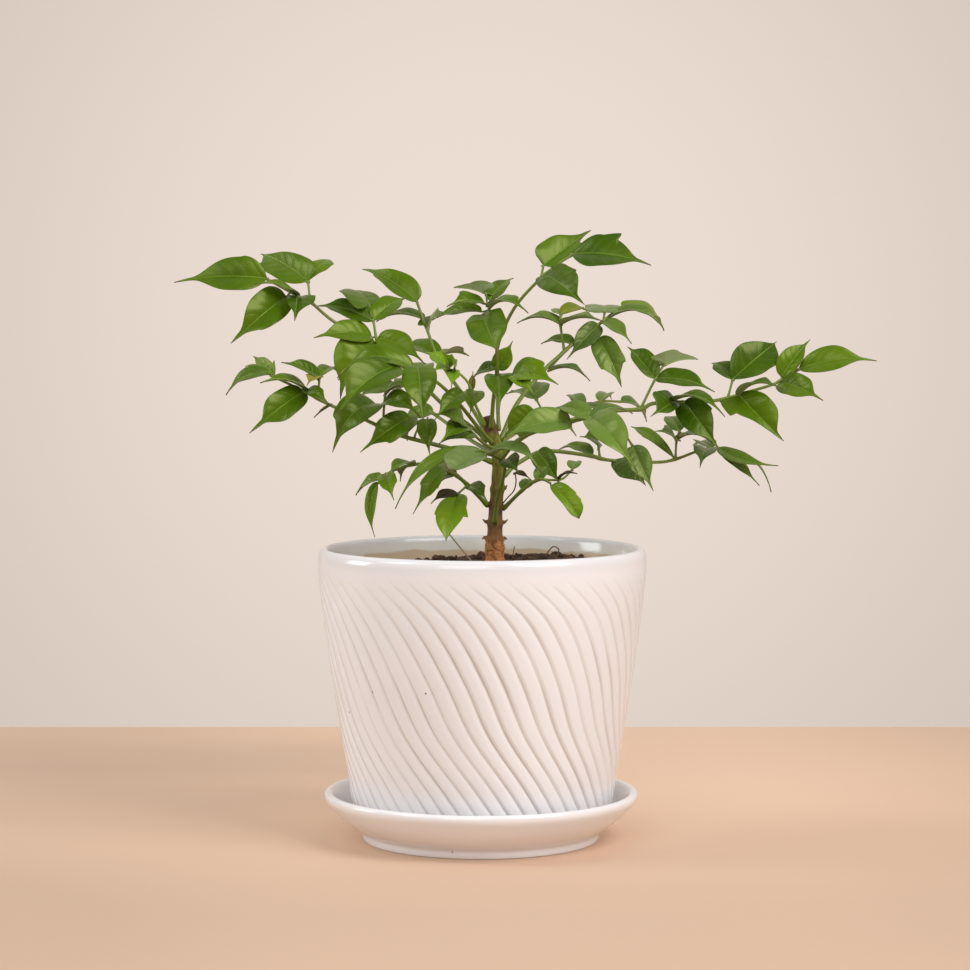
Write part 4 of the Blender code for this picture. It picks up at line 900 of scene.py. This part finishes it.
def leafLook():
    # two greens in clouds, pale veins between puffed panels, paler undersides, brownish tips and margins
    c = leafColours
    look = Look("leaf")
    u, v, under = look.values("blade")
    half, length, own = look.values("leaf")
    young, dry, pale = look.values("tone")
    place = look.place()
    out = abs(v)
    cloud = look.noise(place, 60.0, 4.0)
    grain = look.noise(place, 520.0, 2.0)
    net = look.step(look.cells(place, 950.0, "DISTANCE_TO_EDGE"), 0.12, 0.02)
    along = (u - out**1.25 * bladeSettings["veinSweep"]) * bladeSettings["veins"] + look.sum("SIGN", v) * 0.13
    gap = abs(look.sum("FRACT", along) - 0.5) * length * (0.75 / bladeSettings["veins"])
    vein = look.step(gap, 0.32, 0.06) * look.step(out, 1.0, 0.72) * look.step(u, 0.97, 0.8)
    rib = look.step(out * half, 0.42, 0.12)
    top = look.coats(
        c["deep"], (look.step(cloud * 0.7 + own * 0.5, 0.25, 0.85), c["mid"]), (pale * 0.6, c["pale"]),
        (vein * 0.08 + rib * 0.45, c["vein"]),
    )
    back = look.mix(cloud, shade(c["back"], 0.8), shade(c["back"], 1.15))
    back = look.mix(vein * 0.35 + net * 0.06, back, c["rib"])
    faded = look.step(dry * 1.2 + cloud * 0.5, 0.35, 0.95)
    rim = look.step(half * (1.0 - out), 0.32, 0.05) * look.step(u, 0.05, 0.2)
    end = look.step(u + cloud * 0.06, 0.94, 0.99) * (1.0 - young)
    base = look.coats(
        top, (under, back), (young * 0.85, look.mix(cloud, c["young"], shade(c["young"], 0.8))),
        (faded * 0.9, c["dry"]), (look.step(dry + cloud * 0.1, 0.82, 0.98), c["burnt"]),
        (rim * 0.3, look.mix(cloud, c["deep"], c["tip"])), (end * 0.85, c["tip"]),
    )
    height = (under * 2.0 - 1.0) * (vein * 0.25 + rib * 0.6) + net * under * 0.08 + grain * 0.02
    rough = grain * 0.04 + cloud * 0.14 + under * 0.2 + dry * 0.2 + bladeSettings["rough"]
    return look.finish(
        Base_Color=base, Roughness=rough, Normal=look.bump(height, 0.5, 0.0002), Specular_IOR_Level=0.42,
        Specular_Tint=(0.95, 1.0, 0.4), Sheen_Weight=0.12, Sheen_Roughness=0.35, Sheen_Tint=(0.8, 0.85, 0.5),
    )


def stemLook():
    # olive stalks with brownish stretches, paler ribs under the blades and lime green on the new growth
    c = stalkColours
    look = Look("leaf stalk")
    dry, pale, young = look.values("stem")
    cloud = look.noise(look.place(), 45.0)
    base = look.coats(
        c["olive"], (look.step(cloud, 0.5, 0.72), c["brown"]), (pale * 0.7, c["rib"]),
        (young * 0.9, c["young"]), (dry, c["dry"]),
    )
    streaks = look.noise(look.place((1.0, 1.0, 0.3)), 1500.0, 2.0)
    rough = cloud * 0.1 + stalkSettings["rough"]
    return look.finish(Base_Color=base, Roughness=rough, Normal=look.bump(streaks, 0.3, 0.0001))


def addFrond(name, frond, leaf, stalk, number):
    # each stem starts sunk into what it grows from, and swells where leaflets and stems leave it
    s = stalkSettings
    chance = np.random.default_rng(number)
    blades, stems, lines = Form(), Form(), []
    usual = frond.get("mood", (0, 0, 0))
    joints = placed([row[:3] for row in frond["leaflets"]] + [stem[0] for stem in frond["stems"]])
    for *points, thick, thin in frond["stems"]:
        line = smoothLine(placed(points), s["between"])
        radii = thick + (thin - thick) * np.linspace(0, 1, len(line))
        start = line[0] - unit(line[1] - line[0]) * s["sinkOthers" if lines else "sinkFirst"]
        line, radii = np.vstack([start, line]), np.append(thick, radii)
        near = np.linalg.norm(line[:, None] - joints[None], axis=-1).min(1)
        radii = s["slim"] * radii * (1 + s["swell"] * bell(near, s["swellLong"]))
        tube(stems, line, radii, s["sides"], stem=(0.0, 0.0, usual[0]))
        lines.append(line[2:])
    for *points, radius in frond.get("withered", ()):
        line = smoothLine(placed(points), 6)
        tube(stems, line, radius, 8, stem=(1.0, 0.0, 0.0))
        lines.append(line)
    for row in frond["leaflets"] + frond.get("small", ()):
        addLeaflet(blades, stems, lines, row, usual, chance)
    slot = frond.get("slot", "leaf")
    blades.piece(name + "_blades", leaf, slot, name)
    stems.piece(name + "_stalks", stalk, slot, name)


leaf, stalk = leafLook(), stemLook()
for number, (name, frond) in enumerate(fronds.items()):
    addFrond(name, frond, leaf, stalk, number)
print("fronds made")


# trunk

trunkSettings = {
    "sides": 36, "between": 20, "furrows": 0.16, "flakes": 22,
    "crust": 0.26, "crustUp": (124.0, 112.0),  # scaly bark, mm out, and where it fades and is full
    "rough": 0.68,
    "knots": (120.1, 126.7, 134.0, 140.5, 151.0),  # mm up
    "knotTall": 1.3, "knotOut": 0.42,
    "collarUp": 109.0, "collarTall": 2.5, "collarOut": 0.5,  # where it leaves the soil
    "topWidth": 0.82, "topRise": 0.35,
    "cut": ((0.55, 0.4), (0.1, 0.5)),  # rings of the cut top: share of its width, how far they sink
    "flakeUp": (109.5, 119.0), "flakeWide": (0.25, 0.6), "flakeTall": (1.2, 3.0),
    "flakeOff": 0.28, "flakeLoose": 0.55, "flakeThick": 0.22,
}
# across, depth, up and radius
trunkPath = (
    (5.6, 0, 96, 3.9), (5.6, 0, 112, 3.7), (5.5, 0, 122, 3.1), (5.9, 0, 132, 2.7),
    (6.7, 0, 143, 2.6), (7, 0, 151, 2.5), (5.9, 0, 158, 2.5), (4.2, 0, 164, 2.4),
    (2.8, 0, 169.4, 2.2),
)
# up, direction in degrees round the trunk, how far they stand out, radius
trunkScars = (
    (126.8, 188, 2.2, 1), (126.6, -8, 2.2, 1), (120.2, 184, 1.84, 1.1), (120, -4, 1.76, 1.1),
    (134, 196, 1.4, 1.2), (140.5, 10, 1.3, 1.2),
)


barkColours = {
    "foot": (0.60, 0.22, 0.05), "crack": (0.075, 0.042, 0.022), "flake": (0.55, 0.27, 0.10),
    "cut": (0.045, 0.022, 0.014),
}
# from and to (mm up), how far clouds move that edge, and the colour above it
barkBands = (
    (120.5, 127.0, 8.0, (0.25, 0.125, 0.035)), (130.0, 136.0, 8.0, (0.19, 0.11, 0.022)),
    (136.0, 142.0, 6.0, (0.175, 0.140, 0.008)), (146.0, 153.0, 6.0, (0.19, 0.20, 0.008)),
    (163.5, 166.0, 4.0, (0.13, 0.050, 0.028)),
)


def barkLook():
    # orange-tan flakes near the soil, brown above them, then olive, and a dark cut top
    c = barkColours
    look = Look("bark")
    up, cut, flake = look.values("bark")
    cloud = look.noise(look.place(), 160.0, 4.0)
    streak = look.noise(look.place((1.0, 1.0, 0.35)), 700.0, 4.0, 0.65)
    base = c["foot"]
    for low, high, wander, colour in barkBands:
        base = look.mix(look.step(up + cloud * wander, low, high), base, colour)
    ring = look.step(abs(up + cloud * 2.0 - 132.0), 1.6, 0.4)
    crack = look.step(streak, 0.45, 0.68) * 0.6 + ring * 0.35
    base = look.coats(base, (crack, c["crack"]), (flake * 0.6, c["flake"]), (cut * 0.9, c["cut"]))
    height = streak + cloud * 0.5
    rough = streak * 0.2 + trunkSettings["rough"]
    return look.finish(Base_Color=base, Roughness=rough, Normal=look.bump(height, 0.9, 0.0004))


def addTrunk():
    # circles square to the path, furrowed along it, swollen at the leaf scars and flaky near the soil
    s = trunkSettings
    form = Form()
    line = smoothLine(trunkPath, s["between"])
    middle, radius = line[:, :3], line[:, 3]
    around = -circles(middle, s["sides"])
    smoothRings = middle[:, None] + radius[:, None, None] * around
    furrow = ripple(smoothRings * (1.0, 1.0, 0.16), 2.6, 3) * s["furrows"]
    crust = ripple(smoothRings * (1.0, 1.0, 0.7), 2.0, 4) * s["crust"]
    crust = crust * smooth(smoothRings[..., 2], *s["crustUp"])
    up = middle[:, 2][:, None]
    knots = sum(s["knotOut"] * bell(up - z, s["knotTall"]) for z in s["knots"])
    collar = s["collarOut"] * bell(up - s["collarUp"], s["collarTall"])
    reach = radius[:, None] + furrow + crust + knots + collar
    reach[-1] *= s["topWidth"]
    rings = middle[:, None] + reach[..., None] * around
    ahead = unit(middle[-1] - middle[-2])
    rings[-1] += ahead * s["topRise"]
    heart = rings[-1:].mean(1, keepdims=True)
    hollow = [heart + (rings[-1:] - heart) * share - ahead * deep for share, deep in s["cut"]]
    rings = np.concatenate([rings, *hollow])
    cut = np.zeros(rings.shape[:2])
    cut[-3:] = 1.0
    stackForm(form, rings, bark=vectors(rings[..., 2], cut, 0.0))
    for z, direction, far, thick in trunkScars:
        angle = np.radians(direction)
        centre = np.array([np.interp(z, line[:, 2], line[:, 0]), 0.0, z])
        girth = np.interp(z, line[:, 2], radius)
        way = np.array([np.cos(angle), np.sin(angle), 0.2])
        path = centre + way * np.array([0.3 * girth, girth, girth + 0.5 * far, girth + far])[:, None]
        path[2:, 2] += np.array([0.0, 0.7]) * np.sign(z - 121.0)
        path = smoothLine(path, 6)
        t = np.linspace(0, 1, len(path))
        stub = thick * (1.0 - 0.78 * smooth(t, 0.3, 1.0)) * (1 + 0.1 * np.sin(9 * t + z))
        tube(form, path, stub, 12, bark=vectors(path[:, 2], smooth(t, 0.8, 1.0), 0.0)[:, None])
    chance = np.random.default_rng(5)
    for _ in range(s["flakes"]):
        # a thin curved scrap of bark, loose at its upper edge
        z, turn = chance.uniform(*s["flakeUp"]), chance.uniform(0, 2 * np.pi)
        wide, tall = chance.uniform(*s["flakeWide"]), chance.uniform(*s["flakeTall"])
        p = turn + np.linspace(-wide, wide, 6)[None, :] * (1 + 0.2 * np.sin(np.linspace(0, 5, 5)))[:, None]
        q = np.linspace(0, 1, 5)[:, None]
        loose = s["flakeLoose"] * q**2 * chance.uniform(0.3, 1.0)
        girth = np.interp(z, line[:, 2], radius) + s["flakeOff"] + loose
        x = np.interp(z, line[:, 2], line[:, 0]) + girth * np.cos(p)
        outer = vectors(x, girth * np.sin(p), z + tall * q)
        inner = outer - vectors(np.cos(p), np.sin(p), 0.0) * s["flakeThick"]
        rings = np.concatenate([outer, inner[:, ::-1]], 1)
        stackForm(form, rings, bark=(z, 0.0, 1.0))
    form.piece("barkTrunk", barkLook(), "bark", "trunk")


addTrunk()
print("trunk made")


# soil

soilSettings = {
    "columns": 168, "top": 108.3, "edge": 59.8, "hole": 4.35, "holeCentre": 5.6, "rough": 0.92,
    "lumps": ((22.0, 0.55, 11), (9.0, 0.35, 12), (3.6, 0.26, 13)),  # size, height and seed
    "heaps": ((26, 38, 2.4, 20), (-17, 41, 2.2, 3.2), (-2.5, 40, 2.6, 5)),  # across, depth, height, width
    "mound": 0.9, "moundSpread": 260.0,  # round the trunk: mm, mm²
    "dip": 2.2,  # at the back left
    "crumbs": 620, "crumbRings": (5, 7), "crumbLeast": 0.25, "crumbMore": 0.24, "crumbReach": 57.5,
    "clear": 5.5,  # free of crumbs round the trunk
    "fibres": 26, "fibreReach": (8, 54), "fibreLong": (5, 16), "fibreThick": (0.12, 0.3), "fibreEdge": 57.0,
}
# radius and height, up the ball of soil and down the trunk's hole
soilWall = ((1, 10.9), (43.8, 10.9), (44.4, 12.5), (49.6, 32), (55.5, 72), (58.2, 95), (59.5, 105))
soilShaft = ((4.3, 104), (4.2, 95.7), (0.5, 95.7))
# straws and roots: points (across, up, depth), radius, and 1 for a straw
soilStraws = (
    (((-2.6, 109.6, 34.6), (-4.4, 112.2, 34), (-8.6, 117.4, 32), (-13.6, 123.6, 30)), 0.3, 1.0),
    (((12.4, 109, 30), (12.8, 114, 31), (13.4, 117.6, 32)), 0.2, 0.0),
    (((24, 111, 34), (27, 115.6, 34), (29, 117.4, 34), (31, 116.4, 34), (30.4, 113, 34)), 0.28, 0.0),
)


def soilHeight(x, y):
    # soft lumps of three sizes, a little lower at the back left and heaped near the trunk
    s = soilSettings
    flat = vectors(x, y, 0.0)
    lumps = sum(ripple(flat, size, seed) * height for size, height, seed in s["lumps"])
    heap = s["mound"] * np.exp(-(((x - s["holeCentre"]) ** 2 + y**2) / s["moundSpread"]))
    heap = heap - s["dip"] * smooth(-x, 4.0, 40.0) * smooth(y, 0.0, 35.0)
    for across, depth, height, wide in s["heaps"]:
        heap = heap + height * np.exp(-(((x - across) ** 2 + (y - depth) ** 2) / wide**2))
    return s["top"] + lumps + heap


def addSoil():
    # rings from under the ball of soil, up the wall, over the lumpy top and down round the trunk
    s = soilSettings
    wall = turned(np.array(soilWall), s["columns"])
    share = np.linspace(1, 0, 66)[:, None] ** 1.05
    radius = s["hole"] + (s["edge"] - s["hole"]) * share
    wall[..., 0] += potSettings["aside"]
    a = angles(s["columns"])
    x = s["holeCentre"] * (1 - share) + potSettings["aside"] * share + radius * np.cos(a)
    y = radius * np.sin(a)
    top = vectors(x, y, soilHeight(x, y))
    shaft = turned(np.array(soilShaft), s["columns"])
    shaft[..., 0] += s["holeCentre"]
    form = Form()
    stackForm(form, np.concatenate([wall, top, shaft]), soil=(0.5, 0.0, 0.0))

    chance = np.random.default_rng(21)
    count = s["crumbs"]
    rows, columns = s["crumbRings"]
    polar, circle = np.linspace(0.22, np.pi - 0.22, rows)[:, None], angles(columns)
    ball = vectors(np.sin(polar) * np.cos(circle), np.sin(polar) * np.sin(circle), -np.cos(polar))
    size = chance.gamma(3.0, s["crumbMore"], count)[:, None, None, None] + s["crumbLeast"]
    stretch = chance.uniform(0.7, 1.35, (count, 1, 1, 3)) * (1.0, 1.0, 0.8)
    ragged = 1.0 + chance.uniform(-0.2, 0.2, (count, rows, columns, 1))
    reach = s["crumbReach"] * np.sqrt(chance.random(count))
    turn = chance.uniform(0, 2 * np.pi, count)
    x, y = reach * np.cos(turn), reach * np.sin(turn)
    clear = np.hypot(x - s["holeCentre"], y) > s["clear"]
    spot = np.stack([x, y, soilHeight(x, y) + 0.15 * size[:, 0, 0, 0]], -1)[:, None, None]
    crumbs = (ball * size * stretch * ragged + spot)[clear]
    number = np.arange(len(crumbs))[:, None, None] * rows * columns
    around = (ringFaces(rows, columns)[None] + number).reshape(-1, 4)
    low = np.arange(columns)[None, None, ::-1] + number
    high = (rows - 1) * columns + np.arange(columns)[None, None] + number
    tint = chance.random((len(crumbs), 1, 1, 1)) * (1.0, 0.0, 0.0)
    form.add(crumbs, [around, low.reshape(-1, columns), high.reshape(-1, columns)], soil=tint)

    for _ in range(s["fibres"]):
        reach, turn, way = chance.uniform(*s["fibreReach"]), *chance.uniform(0, 2 * np.pi, 2)
        t = np.linspace(-0.5, 0.5, 7)[:, None]
        long = chance.uniform(*s["fibreLong"])
        bend = chance.uniform(-0.3, 0.3) * long * (1 - 4 * t * t)
        x = reach * np.cos(turn) + long * t * np.cos(way) - bend * np.sin(way)
        y = reach * np.sin(turn) + long * t * np.sin(way) + bend * np.cos(way)
        far = np.maximum(1.0, np.hypot(x, y) / s["fibreEdge"])
        x, y = x / far, y / far
        line = np.concatenate([x, y, soilHeight(x, y) + 0.25 + chance.uniform(0, 1.2) * (1 - 4 * t * t)], 1)
        thick = chance.uniform(*s["fibreThick"])
        tube(form, smoothLine(line, 4), thick, 6, soil=(chance.random(), 1.0, 0.0))
    for points, thick, straw in soilStraws:
        tube(form, smoothLine(placed(points), 6), thick, 8, soil=(0.8, 1.0, straw))
    form.piece("pottingSoil", soilLook(), "soil", "soil")


soilColours = {
    "deep": (0.022, 0.010, 0.005), "peat": (0.085, 0.040, 0.018), "crumb": (0.15, 0.068, 0.028),
    "grain": (0.21, 0.11, 0.05), "fibre": (0.26, 0.13, 0.06), "straw": (0.50, 0.38, 0.20),
}


def soilLook():
    # nearly black peat with brown grains and paler fibres
    c = soilColours
    look = Look("potting soil")
    tint, fibre, straw = look.values("soil")
    place = look.place()
    cloud = look.noise(place, 240.0, 5.0, 0.65)
    grain = look.noise(place, 1500.0)
    base = look.coats(
        c["deep"], (look.step(cloud, 0.35, 0.7), c["peat"]), (look.step(tint, 0.35, 1.0) * 0.6, c["crumb"]),
        (look.step(grain, 0.58, 0.75) * 0.5, c["grain"]), (fibre * (tint * 0.6 + 0.3), c["fibre"]),
        (straw, c["straw"]),
    )
    height, rough = cloud + grain * 0.4, soilSettings["rough"]
    return look.finish(Base_Color=base, Roughness=rough, Normal=look.bump(height, 1.0, 0.0006))


addSoil()
print("soil made")
